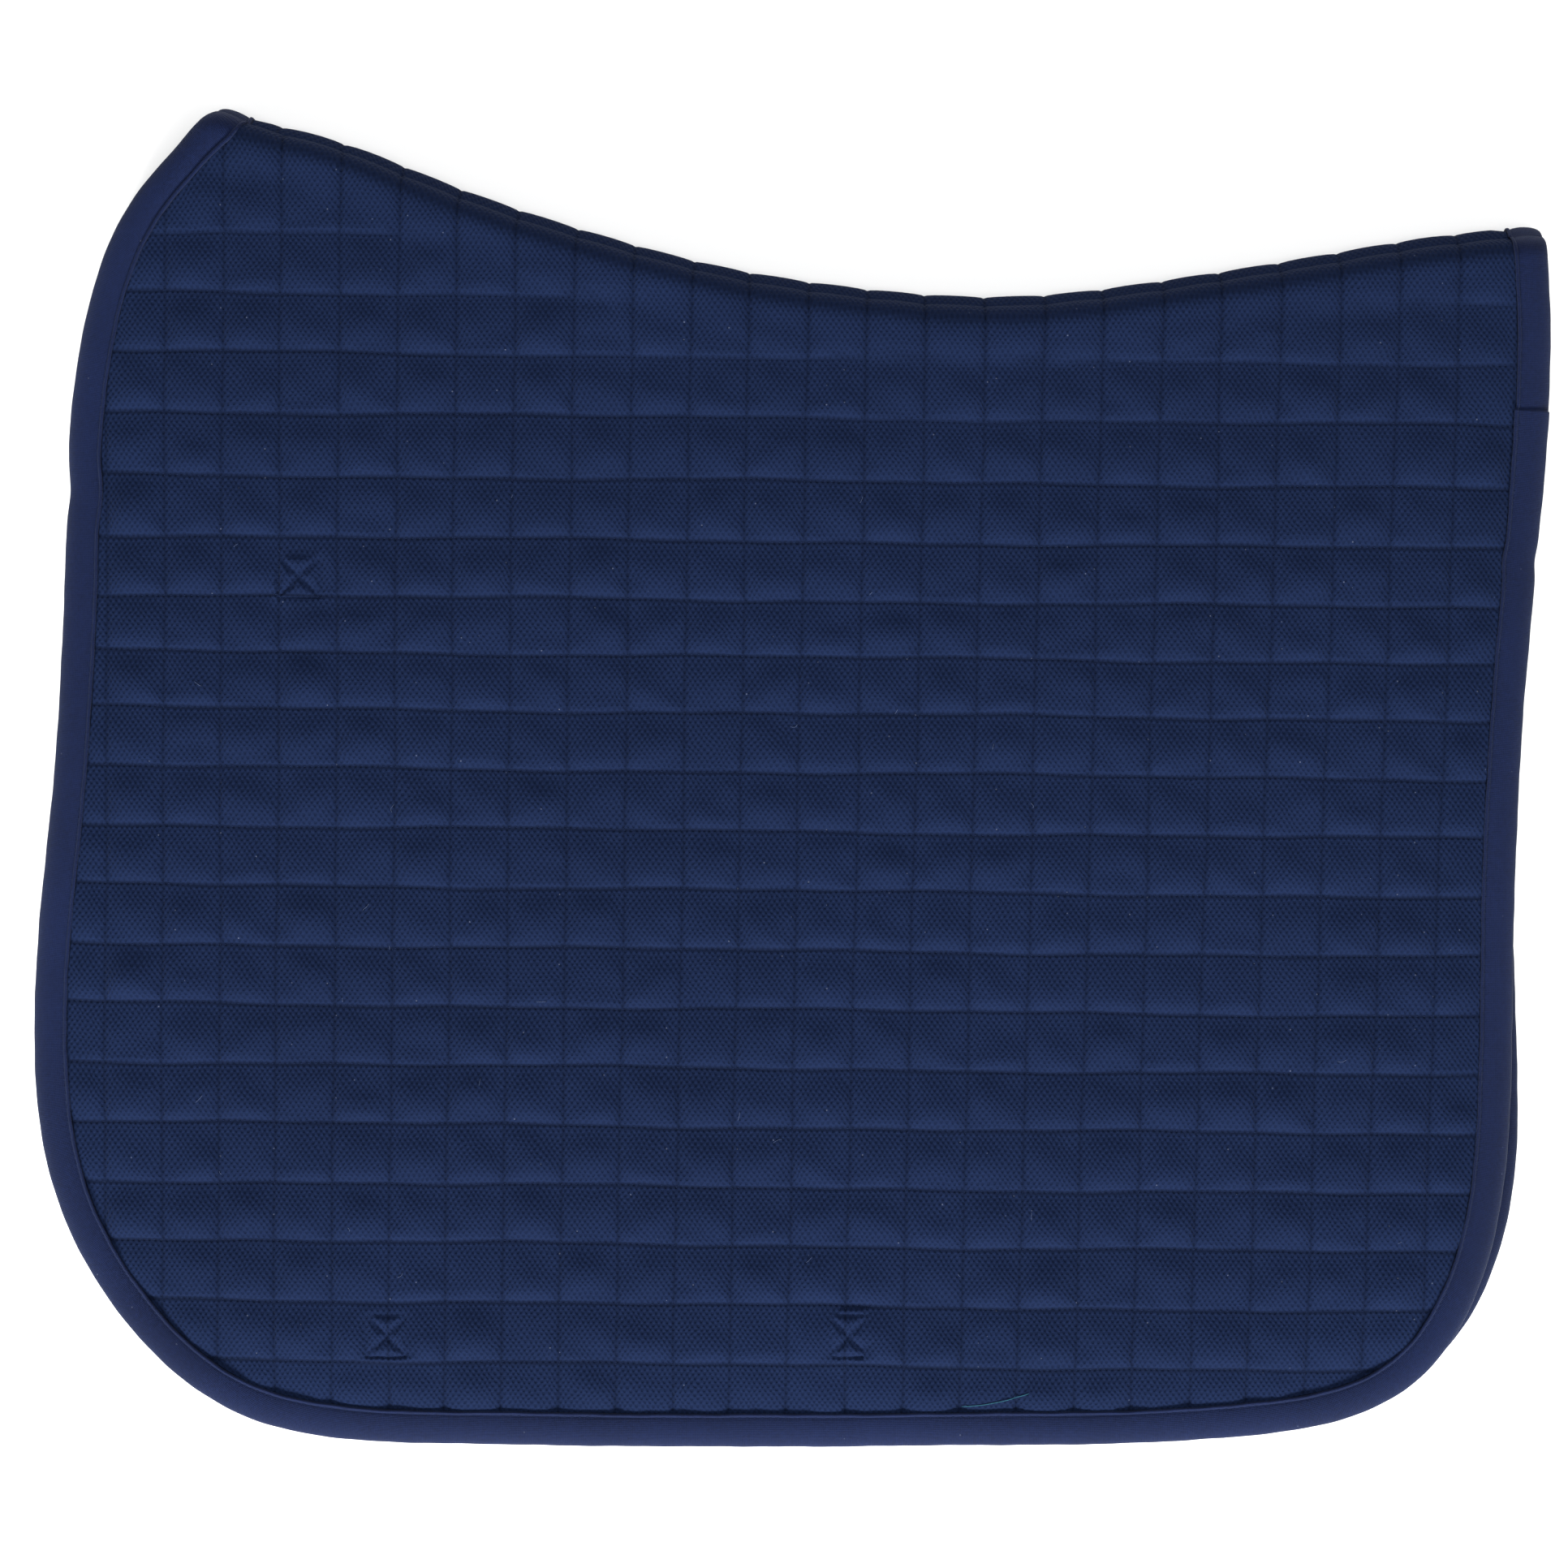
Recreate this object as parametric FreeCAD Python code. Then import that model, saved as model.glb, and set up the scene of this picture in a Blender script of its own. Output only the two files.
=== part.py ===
import FreeCAD
import Part
import math
import os
from FreeCAD import Vector

# Quilted saddle pad with a contoured spine, lying folded in half, lining outwards.
# Millimetres. X runs from the shoulder edge (-X) to the loin edge (+X), Y from the hem up to
# the spine, Z up. Every shape is moved at the end so that the origin is the bottom centre.

# ---- driving dimensions ----
PAD_LENGTH = 656.6          # foremost to rearmost point of the bound edge
PAD_DROP = 577.6            # withers tip to hem
SPINE_DIP = 51.0            # lowest point of the spine below its chord
WITHERS_SETBACK = 87.0      # withers tip behind the foremost point
REAR_FALL = 47.0            # rear end of the spine below the withers tip

HALF_THICKNESS = 9.0        # one quilted half, between its thread levels
SKIN_THICKNESS = 1.2        # lining and cover cloth
THREAD_HEIGHT = 0.4         # stitches above the cloth; quilting rows cross over the columns
BINDING_WIDTH = 15.0
BINDING_THICKNESS = 0.8
BINDING_CLEARANCE = 0.3     # between the lip of the binding and the full-height quilting
STITCH_SETBACK = 1.8        # binding stitches from the lip
THREAD_WIDTH = 0.6

QUILT_COLUMN = 25.1         # pitch of the quilting along X
QUILT_ROW = 25.6            # pitch of the quilting along Y
ROW_SLOPE = -0.011          # rows fall this much per millimetre towards the rear
FIRST_COLUMN = 57.0         # behind the foremost point
FIRST_ROW = 51.0            # below the withers tip, at the front

FOLD_GAP = 12.0             # between the two halves, room for the straps of both
RIDGE_OFFSET = 5.5          # the upper half's spine edge inside the under half's
DRIFT_REARWARD = 0.045      # the under half drifts per millimetre below its middle
DRIFT_UPWARD = 0.03

WEBBING_WIDTH = 22.0
WEBBING_THICKNESS = 1.2
STITCH_BOX = 19.0           # side of a boxed cross of stitches
GIRTH_SPACING = 199.5       # between the two boxes of the girth strap
GIRTH_FROM_FRONT = 153.7    # front box behind the foremost point
GIRTH_FROM_HEM = 49.0
GIRTH_SLACK = 4.4           # room under the strap for the girth
GIRTH_RAMP = 20.0
KEEPER_FROM_FRONT = 115.8
KEEPER_FROM_TOP = 200.8
KEEPER_LENGTH = 150.0       # free length below the sewn end
HOOK_LENGTH = 42.0
LOOP_LENGTH = 62.0
FASTENER_WIDTH = 20.0
FASTENER_THICKNESS = 1.6
FASTENER_MARGIN = 4.0

SPINE_TAPE_SETBACK = 2.0    # tape inside the fold, from the upper half's spine edge
SPINE_TAPE_WIDTH = 11.0
SPINE_TAPE_THICKNESS = 0.8
RUNNING_CLEARANCE = 0.3     # between pieces that move apart

# ---- values that follow ----
FRONT = -PAD_LENGTH / 2
REAR = PAD_LENGTH / 2
TOP = PAD_DROP / 2
HEM = -PAD_DROP / 2
FULL_INSET = BINDING_WIDTH + BINDING_CLEARANCE
CLOTH = THREAD_HEIGHT       # outer face of the cloth above the half's own zero
UPPER_LEVEL = HALF_THICKNESS + FOLD_GAP
TOTAL_THICKNESS = UPPER_LEVEL + HALF_THICKNESS
FAR = 400.0                 # beyond any edge of the pad
CURVE_SAMPLES = 60

pieces = {}


def drift(point, under):
    """A plan point, moved as the under half has drifted."""
    x, y = point
    if not under or y > 0:
        return (x, y)
    return (x - DRIFT_REARWARD * y, y - DRIFT_UPWARD * y)


def smooth(points):
    curve = Part.BSplineCurve()
    curve.interpolate([Vector(x, y, 0) for x, y in points])
    return curve.toShape()


def perimeter(under):
    """Front edge, hem and rear edge as one curve, from above the withers to above the loin."""
    tip = (FRONT + WITHERS_SETBACK, TOP)
    points = [
        (tip[0] + 19, tip[1] + 26),
        (tip[0], tip[1] + 6),
        (tip[0] - 20, tip[1] - 12),
        (FRONT + 46, TOP - 34),
        (FRONT + 19.5, TOP - 103),
        (FRONT + 13.5, TOP - 200),
        (FRONT + 8.5, 0),
        (FRONT, HEM + 178),
        (FRONT + 14, HEM + 97),
        (FRONT + 34, HEM + 62),
        (FRONT + 58, HEM + 35),
        (FRONT + 88, HEM + 14.5),
        (FRONT + 134, HEM + 3.5),
        (FRONT + 200, HEM + 1),
        (FRONT + 290, HEM),
        (REAR - 215, HEM + 1),
        (REAR - 127, HEM + 5),
        (REAR - 60, HEM + 26),
        (REAR - 27, HEM + 79),
        (REAR - 16, HEM + 170),
        (REAR - 13, 0),
        (REAR - 4, TOP - 180),
        (REAR, TOP - 120),
        (REAR - 1, TOP - 65),
        (REAR - 5, TOP - 10),
    ]
    return smooth([drift(p, under) for p in points])


def inset_curve(under, inset):
    edge = perimeter(under)
    first, last = edge.ParameterRange
    points = []
    for i in range(CURVE_SAMPLES + 1):
        at = first + (last - first) * i / CURVE_SAMPLES
        place, along = edge.valueAt(at), edge.tangentAt(at)
        points.append((place.x - along.y * inset, place.y + along.x * inset))
    return smooth(points)


def spine_points(under):
    """The contoured spine, from beyond the withers to beyond the loin: a chord less its dip."""
    start = (FRONT + WITHERS_SETBACK, TOP)
    end = (REAR - 17, TOP - REAR_FALL)
    lift = 0 if under else -RIDGE_OFFSET
    shape = [(-0.07, -0.13), (0.02, 0.0), (0.075, 0.10), (0.15, 0.35), (0.225, 0.58), (0.3, 0.76),
             (0.38, 0.91), (0.465, 0.985), (0.55, 1.0), (0.63, 0.93), (0.73, 0.71), (0.84, 0.42),
             (0.93, 0.17), (1.0, 0.02), (1.08, -0.1)]
    across, down = end[0] - start[0], end[1] - start[1]
    return [(start[0] + t * across, start[1] + t * down - dip * SPINE_DIP + lift)
            for t, dip in shape]


def flat(edges):
    return Part.Face(Part.Wire(Part.sortEdges(edges)[0]))


def below_spine(under, inset):
    """Everything below a line that lies the inset below the spine edge."""
    points = [(x, y - inset) for x, y in spine_points(under)]
    (x0, y0), (x1, y1) = points[0], points[-1]
    corners = [(x1, y1), (FAR, y1), (FAR, -FAR), (-FAR, -FAR), (-FAR, y0), (x0, y0)]
    corners = [Vector(x, y, 0) for x, y in corners]
    sides = [Part.makeLine(a, b) for a, b in zip(corners, corners[1:])]
    return flat([smooth(points)] + sides)


def inside(under, inset):
    curve = inset_curve(under, inset)
    a, b = curve.valueAt(curve.FirstParameter), curve.valueAt(curve.LastParameter)
    corners = [b, Vector(b.x, FAR, 0), Vector(a.x, FAR, 0), a]
    return flat([curve] + [Part.makeLine(p, q) for p, q in zip(corners, corners[1:])])


regions = {}


def slab(under, inset, low, high, spine_inset=0.0):
    """The half's plan, inset from its bound edge and its spine, between two heights."""
    key = (under, inset, spine_inset)
    if key not in regions:
        regions[key] = inside(under, inset).common(below_spine(under, spine_inset)).Faces[0]
    shape = regions[key].extrude(Vector(0, 0, high - low))
    return shape.translated(Vector(0, 0, low))


def block(x, y, z, dx, dy, dz):
    """A box centred on x and y that starts at height z."""
    return Part.makeBox(dx, dy, dz, Vector(x - dx / 2, y - dy / 2, z))


def bar(a, b, low, height):
    """A straight run of thread between two plan points."""
    length = math.hypot(b[0] - a[0], b[1] - a[1])
    shape = Part.makeBox(length, THREAD_WIDTH, height, Vector(0, -THREAD_WIDTH / 2, 0))
    shape.rotate(Vector(), Vector(0, 0, 1), math.degrees(math.atan2(b[1] - a[1], b[0] - a[0])))
    return shape.translated(Vector(a[0], a[1], low))


def boxed_cross(centre, low):
    """A square of stitches with a cross in it."""
    x, y = centre
    h = (STITCH_BOX - THREAD_WIDTH) / 2
    e = h + THREAD_WIDTH / 2
    runs = [((x - e, y - h), (x + e, y - h)), ((x - e, y + h), (x + e, y + h)),
            ((x - h, y - h), (x - h, y + h)), ((x + h, y - h), (x + h, y + h)),
            ((x - h, y - h), (x + h, y + h)), ((x - h, y + h), (x + h, y - h))]
    bars = [bar(a, b, low, THREAD_HEIGHT) for a, b in runs]
    return bars[0].multiFuse(bars[1:]).removeSplitter()


def girth_boxes(under):
    y = HEM + GIRTH_FROM_HEM
    x = FRONT + GIRTH_FROM_FRONT
    return [drift((x, y), under), drift((x + GIRTH_SPACING, y), under)]


def keeper_box(under):
    return drift((FRONT + KEEPER_FROM_FRONT, TOP - KEEPER_FROM_TOP), under)


def quilting(under, low, outer_rows):
    """The rows and columns of quilting stitches on one face, clear of the boxed crosses."""
    half = THREAD_HEIGHT / 2
    row_level, column_level = (low, low + half) if outer_rows else (low + half, low)
    fall = ROW_SLOPE * 2 * FAR
    rows, columns = [], []
    y = TOP - FIRST_ROW - ROW_SLOPE * FRONT
    while y > HEM:
        rows.append(bar((-FAR, y - fall / 2), (FAR, y + fall / 2), row_level, half))
        y -= QUILT_ROW
    x = FRONT + FIRST_COLUMN
    while x < REAR:
        columns.append(bar((x, -FAR), (x, FAR), column_level, half))
        x += QUILT_COLUMN
    reach = slab(under, FULL_INSET + BINDING_CLEARANCE, low, low + THREAD_HEIGHT)
    side = STITCH_BOX + 2 * RUNNING_CLEARANCE
    keep_out = Part.makeCompound([block(x, y, low, side, side, THREAD_HEIGHT)
                                  for x, y in girth_boxes(under) + [keeper_box(under)]])
    solids = []
    for bars in (rows, columns):
        solids += Part.makeCompound(bars).common(reach).cut(keep_out).Solids
    return solids


def girth_strap(under, level):
    """Webbing sewn down at both ends and raised between them, as a side view pulled across."""
    (x0, y), (x1, _) = girth_boxes(under)
    sewn = WEBBING_WIDTH / 2
    lift, t = GIRTH_SLACK, WEBBING_THICKNESS
    under_side = [(x0 - sewn, 0), (x0 + sewn, 0), (x0 + sewn + GIRTH_RAMP, lift),
                  (x1 - sewn - GIRTH_RAMP, lift), (x1 - sewn, 0), (x1 + sewn, 0)]
    outline = under_side + [(x, z + t) for x, z in reversed(under_side)]
    wire = Part.makePolygon([Vector(x, y - WEBBING_WIDTH / 2, level + z)
                             for x, z in outline + outline[:1]])
    return Part.Face(wire).extrude(Vector(0, WEBBING_WIDTH, 0))


def half_pieces(name, under):
    """One half of the pad, lining down, its straps on the cover above. Zero is the lining."""
    top = HALF_THICKNESS
    t, skin, cover_level = BINDING_THICKNESS, SKIN_THICKNESS, HALF_THICKNESS
    wad_low, wad_high = CLOTH + skin, top - CLOTH - skin
    rim_low, rim_high = t + skin, top - t - skin
    made = {}

    lining = slab(under, t, t, rim_low).fuse(slab(under, FULL_INSET, CLOTH, wad_low))
    made["lining"] = lining.cut(slab(under, FULL_INSET, wad_low, rim_low)).removeSplitter()
    cover = slab(under, t, rim_high, top - t).fuse(slab(under, FULL_INSET, wad_high, top - CLOTH))
    made["cover"] = cover.cut(slab(under, FULL_INSET, rim_high, wad_high)).removeSplitter()
    wadding = slab(under, t, rim_low, rim_high)
    made["wadding"] = wadding.fuse(slab(under, FULL_INSET, wad_low, wad_high)).removeSplitter()

    binding = slab(under, 0, 0, top).cut(slab(under, t, t, top - t))
    binding = binding.cut(slab(under, BINDING_WIDTH, 0, top))
    row = BINDING_WIDTH - STITCH_SETBACK
    threads = [slab(under, row - THREAD_WIDTH, z, z + THREAD_HEIGHT)
               .cut(slab(under, row, z, z + THREAD_HEIGHT)) for z in (0, top - THREAD_HEIGHT)]
    made["binding_thread"] = Part.makeCompound([s for shape in threads for s in shape.Solids])
    made["edge_binding"] = binding.cut(made["binding_thread"])

    runs = quilting(under, 0, outer_rows=True)
    runs += quilting(under, top - THREAD_HEIGHT, outer_rows=False)
    made["quilting_thread"] = Part.makeCompound(runs)

    made["girth_strap"] = girth_strap(under, cover_level)
    webbing_face = cover_level + WEBBING_THICKNESS
    crosses = [boxed_cross(centre, z) for centre in girth_boxes(under) for z in (0, webbing_face)]
    made["girth_stitching"] = Part.makeCompound(crosses)

    centre = keeper_box(under)
    crosses = [boxed_cross(centre, z) for z in (0, webbing_face)]
    made["keeper_stitching"] = Part.makeCompound(crosses)
    x, y = centre
    made["keeper_base"] = block(x, y, cover_level, WEBBING_WIDTH, WEBBING_WIDTH, WEBBING_THICKNESS)
    start = y - WEBBING_WIDTH / 2 - RUNNING_CLEARANCE
    made["keeper_strap"] = block(x, start - KEEPER_LENGTH / 2, cover_level,
                                 WEBBING_WIDTH, KEEPER_LENGTH, WEBBING_THICKNESS)
    hook_y = start - KEEPER_LENGTH + FASTENER_MARGIN + HOOK_LENGTH / 2
    made["keeper_hook_tape"] = block(x, hook_y, webbing_face,
                                     FASTENER_WIDTH, HOOK_LENGTH, FASTENER_THICKNESS)
    loop_y = start - FASTENER_MARGIN - LOOP_LENGTH / 2
    made["keeper_loop_tape"] = block(x, loop_y, webbing_face,
                                     FASTENER_WIDTH, LOOP_LENGTH, FASTENER_THICKNESS)
    for piece, shape in made.items():
        pieces[f"{name}_{piece}"] = shape if under else turned_over(shape)


def turned_over(shape):
    """The upper half faces the under half: the same layers in reverse order."""
    return shape.mirror(Vector(0, 0, TOTAL_THICKNESS / 2), Vector(0, 0, 1))


def spine_strip(near, far, low, high):
    """A band along the upper half's spine edge, between two distances below it."""
    outer = slab(False, BINDING_THICKNESS, low, high, near)
    return outer.cut(slab(False, BINDING_THICKNESS, low, high, far))


def spine_pieces():
    """The folded tape that covers the spine seam inside the fold, and its two rows of thread."""
    low = HALF_THICKNESS
    high = UPPER_LEVEL - RUNNING_CLEARANCE
    near, far = SPINE_TAPE_SETBACK, SPINE_TAPE_SETBACK + SPINE_TAPE_WIDTH
    t = SPINE_TAPE_THICKNESS
    channel = spine_strip(near, far, low, high)
    pieces["spine_tape"] = channel.cut(spine_strip(near + t, far + t, low + t, high - t))
    row = (near + far) / 2
    rows = [spine_strip(row, row + THREAD_WIDTH, z, z + THREAD_HEIGHT)
            for z in (low + t, high - t - THREAD_HEIGHT)]
    pieces["spine_seam_thread"] = Part.makeCompound([s for r in rows for s in r.Solids])


def export():
    whole = Part.makeCompound(list(pieces.values())).BoundBox
    shift = Vector(-whole.Center.x, -whole.Center.y, -whole.ZMin)
    os.makedirs("parts", exist_ok=True)
    for name, shape in pieces.items():
        shape = shape.translated(shift)
        if len(shape.Solids) == 1:
            shape = shape.Solids[0]
        shape.exportStep(f"parts/{name}.step")
        box = shape.BoundBox
        print(f"{name}: {len(shape.Solids)} solids, {shape.Volume / 1000:.1f} cm3,"
              f" x {box.XMin:.1f}..{box.XMax:.1f} y {box.YMin:.1f}..{box.YMax:.1f}"
              f" z {box.ZMin:.2f}..{box.ZMax:.2f} valid {shape.isValid()}")
    print("shift", shift, "whole", whole)


half_pieces("left", under=True)
half_pieces("right", under=False)
spine_pieces()
export()
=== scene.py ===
import bmesh
import bpy
import math
import numpy as np
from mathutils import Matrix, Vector
from mathutils.bvhtree import BVHTree
from mathutils.kdtree import KDTree


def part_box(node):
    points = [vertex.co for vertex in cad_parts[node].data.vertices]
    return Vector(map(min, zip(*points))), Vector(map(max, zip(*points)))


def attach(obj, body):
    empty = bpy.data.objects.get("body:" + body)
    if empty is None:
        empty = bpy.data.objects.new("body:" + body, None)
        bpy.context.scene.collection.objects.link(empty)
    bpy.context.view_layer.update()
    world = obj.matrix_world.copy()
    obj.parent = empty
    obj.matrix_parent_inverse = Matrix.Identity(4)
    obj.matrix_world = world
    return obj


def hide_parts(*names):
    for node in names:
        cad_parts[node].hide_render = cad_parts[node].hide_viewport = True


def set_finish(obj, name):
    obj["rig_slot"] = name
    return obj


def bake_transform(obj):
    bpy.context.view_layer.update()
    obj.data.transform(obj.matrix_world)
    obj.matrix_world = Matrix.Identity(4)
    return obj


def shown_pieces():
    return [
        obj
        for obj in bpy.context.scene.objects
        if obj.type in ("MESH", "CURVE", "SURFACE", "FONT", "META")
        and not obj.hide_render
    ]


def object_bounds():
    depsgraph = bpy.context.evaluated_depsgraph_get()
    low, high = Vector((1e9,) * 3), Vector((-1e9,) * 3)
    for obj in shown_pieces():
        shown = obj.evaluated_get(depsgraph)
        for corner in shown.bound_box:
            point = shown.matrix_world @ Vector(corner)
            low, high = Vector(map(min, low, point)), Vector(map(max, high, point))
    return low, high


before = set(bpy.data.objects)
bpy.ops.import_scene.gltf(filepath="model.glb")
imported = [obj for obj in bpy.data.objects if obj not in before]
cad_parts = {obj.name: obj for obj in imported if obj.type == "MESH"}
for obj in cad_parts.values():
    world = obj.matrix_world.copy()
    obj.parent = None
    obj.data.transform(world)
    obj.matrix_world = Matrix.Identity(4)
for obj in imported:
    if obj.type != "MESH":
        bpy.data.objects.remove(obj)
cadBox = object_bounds()
mm = 0.001
rng = np.random.default_rng(7)

# straight above the folded pad, spine at the top
cameraUse = {"lens": 85.0, "sensor": 36.0, "across": 0.676, "aim": (-0.0032, -0.0028)}


def makeCamera():
    data = bpy.data.cameras.new("camera")
    data.lens, data.sensor_width = cameraUse["lens"], cameraUse["sensor"]
    ob = bpy.data.objects.new("camera", data)
    away = cameraUse["across"] * cameraUse["lens"] / cameraUse["sensor"]
    ob.location = (*cameraUse["aim"], cadBox[1][2] + away)
    bpy.context.scene.collection.objects.link(ob)
    bpy.context.scene.camera = ob


makeCamera()
print("camera ready")

def smooth(t):
    t = np.clip(t, 0, 1)
    return t * t * (3 - 2 * t)


def mix(a, b, t):
    return a + (b - a) * t


def newObject(name, verts, faces, uv=None, marks=None):
    # uv is one pair per vertex, in metres of cloth; marks are named values per vertex
    mesh = bpy.data.meshes.new(name)
    mesh.from_pydata(np.asarray(verts).tolist(), [], [list(f) for f in faces])
    mesh.shade_smooth()
    if uv is not None:
        layer = mesh.uv_layers.new(name="cloth")
        loops = np.zeros(len(mesh.loops), np.int32)
        mesh.loops.foreach_get("vertex_index", loops)
        layer.uv.foreach_set("vector", np.asarray(uv, np.float32)[loops].ravel())
    for key, values in (marks or {}).items():
        spot = mesh.attributes.new(key, "FLOAT", "POINT")
        spot.data.foreach_set("value", np.asarray(values, np.float32))
    ob = bpy.data.objects.new(name, mesh)
    bpy.context.scene.collection.objects.link(ob)
    return ob


def putPoints(ob, points):
    ob.data.vertices.foreach_set("co", np.asarray(points, np.float32).ravel())
    ob.data.update()


def resample(line, step):
    # even spacing along a polyline, as near to step as fits
    gaps = np.r_[0, np.cumsum(np.hypot(*np.diff(line, axis=0).T))]
    at = np.linspace(0, gaps[-1], max(2, round(gaps[-1] / step)) + 1)
    return np.stack([np.interp(at, gaps, line[:, k]) for k in (0, 1)], 1)


def relax(line, rounds):
    for _ in range(rounds):
        line[1:-1] = 0.5 * line[1:-1] + 0.25 * (line[:-2] + line[2:])
    return line


# the fold, and the plan of each half as the frame has it

foldUse = {
    # each half turns down or up over the spine, by its own angle, to the one seam
    "turn": {"right": math.radians(75), "left": math.radians(130)},
    "back": {"right": 9.6 * mm, "left": 11.9 * mm},     # the turn starts this far inside the spine edge
    "seamRise": 4.0 * mm,  # the seam lies above the middle of the fold
    "normal": math.radians(12.5), "normalOver": 3.5 * mm,
    "pinch": 0.26,         # share of the thickness left at the seam
    "pinchOver": 13 * mm,
    "spread": 135 * mm,    # cloth within this of the seam bends as the fold opens
    "droop": 4.3 * mm,     # the upper half's rim hangs towards the under half
    "droopOver": 42 * mm,
    "lift": 1.1 * mm,      # the under half's rim curls off the floor
    # the bound corner at the withers stands up: how much, where from the spine's end, how wide
    # along the spine and how far down
    "corner": (4.6 * mm, -3.5 * mm, 17 * mm, 30 * mm),
    "droopFrom": 20 * mm, "droopBy": 90 * mm,      # from the seam
    "endsOver": 80 * mm,
}
seamHeight = (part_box("left_edge_binding")[0].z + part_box("right_edge_binding")[1].z) / 2
raysCast = 2880


def nodeTree(name):
    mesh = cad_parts[name].data
    return BVHTree.FromPolygons([v.co for v in mesh.vertices], [p.vertices for p in mesh.polygons])


def reach(tree, angle, z):
    way = Vector((math.cos(angle), math.sin(angle), 0))
    hit = tree.ray_cast(way * 2 + Vector((0, 0, z)), -way)[0]
    return hit.dot(way) if hit else -1


def readHalf(side):
    low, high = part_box(side + "_edge_binding")
    level = (low.z + high.z) / 2
    tape, body = nodeTree(side + "_edge_binding"), nodeTree(side + "_wadding")
    bound, spine = [], []
    for i in range(raysCast):
        angle = math.radians(83 + 360 * i / raysCast)
        r, w = reach(tape, angle, level), reach(body, angle, level)
        taped = 0 < r - w < 3 * mm
        target = bound if taped else spine
        target.append(((r if taped else w) * math.cos(angle), (r if taped else w) * math.sin(angle)))
    bound = relax(resample(np.array(bound), 1.5 * mm), 6)
    # the edge runs on over the fold at both ends
    extra = np.array([0, 15 * mm])
    bound = relax(resample(np.vstack([bound[0] + extra, bound, bound[-1] + extra]), 1.5 * mm), 4)
    spine = np.array(sorted(p for p in spine if p[1] > 0))
    spine = spine[np.r_[True, np.diff(spine[:, 0]) > 1e-5]]
    edge = resample(spine, 3 * mm)
    edge = relax(edge, 10)
    along = np.gradient(bound, axis=0)
    along /= np.hypot(*along.T)[:, None]
    tree = KDTree(len(bound))
    for i, p in enumerate(bound):
        tree.insert((*p, 0), i)
    tree.balance()
    return {"side": side, "out": 1 if side == "right" else -1, "level": level,
            "thick": (high.z - low.z) / 2, "bound": bound, "along": along,
            "inward": np.stack([-along[:, 1], along[:, 0]], 1), "edge": edge, "tree": tree}


halves = {side: readHalf(side) for side in ("left", "right")}
for side, half in halves.items():
    angle = foldUse["turn"][side]
    half["turn"], half["back"] = angle, foldUse["back"][side]
    half["radius"] = abs(half["level"] - seamHeight - foldUse["seamRise"]) / (1 - math.cos(angle))
    half["arc"] = half["radius"] * angle


def spineAt(half, x):
    edge = half["edge"]
    slope = (edge[2] - edge[0], edge[-1] - edge[-3])
    y = np.interp(x, edge[:, 0], edge[:, 1])
    y = np.where(x < edge[0, 0], edge[0, 1] + (x - edge[0, 0]) * slope[0][1] / slope[0][0], y)
    return np.where(x > edge[-1, 0], edge[-1, 1] + (x - edge[-1, 0]) * slope[1][1] / slope[1][0], y)


def fromSeam(half, x, y):
    # distance from the spine seam along the middle of the cloth
    return half["arc"] - (y - (spineAt(half, x) - half["back"]))


def fromRim(half, x, y):
    # distance inside the bound edge
    found = np.empty(len(x))
    for i, p in enumerate(zip(x, y)):
        _, k, _ = half["tree"].find((*p, 0))
        found[i] = (np.array(p) - half["bound"][k]) @ half["inward"][k]
    return found


def endShift(half, x, s):
    # the ends of the two halves' spine edges differ a little, and meet at the seam
    edge, other = half["edge"], halves["right"]["edge"]
    near = 1 - smooth(s / (18 * mm))
    over = foldUse["endsOver"]
    front = (other[0, 0] - edge[0, 0]) * (1 - smooth((x - edge[0, 0]) / over))
    rear = (other[-1, 0] - edge[-1, 0]) * (1 - smooth((edge[-1, 0] - x) / over))
    return near * (front + rear)


def seamY(half, x):
    return spineAt(half, x) - half["back"] + half["radius"] * math.sin(half["turn"])


def place(half, x, y, h, rim, pinch=foldUse["pinch"]):
    # cloth laid flat at (x, y), h out from the middle of the half, to its place in the folded pad
    s = np.maximum(fromSeam(half, x, y), 0)
    centre = spineAt(half, x) - half["back"]
    turn = np.clip((half["arc"] - s) / half["radius"], 0, half["turn"])
    h = h * mix(pinch, 1, smooth(s / foldUse["pinchOver"]))
    lean = turn - foldUse["normal"] * (1 - smooth(s / foldUse["normalOver"])) * (turn > 0)
    newY = np.minimum(y, centre) + half["radius"] * np.sin(turn) + h * np.sin(lean)
    newY = newY - (seamY(half, x) - seamY(halves["right"], x)) * (1 - smooth(s / (9 * mm)))
    z = h * np.cos(lean) - half["radius"] * (1 - np.cos(turn))
    up, start, wide, deep = foldUse["corner"]
    front = (x - halves["right"]["edge"][0, 0] - start) / wide
    newY = newY + up * np.exp(-front ** 2 - (s / deep) ** 2)
    away = smooth((s - foldUse["droopFrom"]) / foldUse["droopBy"])
    away = away * (1 - smooth(rim / foldUse["droopOver"]))
    ripple = 0.85 + 0.15 * np.sin(x * 31 + y * 23 + half["out"])
    fall = foldUse["droop"] if half["out"] > 0 else foldUse["lift"]
    z = z - fall * away * ripple
    return np.stack([x + endShift(half, x, s), newY, half["level"] + half["out"] * z], 1)


def bendWithFold(piece, signed):
    # signed is the distance from the contoured seam, right half positive; a share worked from it stands in
    # the points for a moment, and the points are then put back as they were
    final = np.zeros(len(piece.data.vertices) * 3, np.float32)
    piece.data.vertices.foreach_get("co", final)
    share = 0.5 + 0.5 * np.clip(signed / foldUse["spread"], -1, 1)
    putPoints(piece, np.stack([share * 0, share, share * 0], 1))
    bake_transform(piece)
    putPoints(piece, final)


# quilting: lines of stitches and the puffs between them

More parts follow.
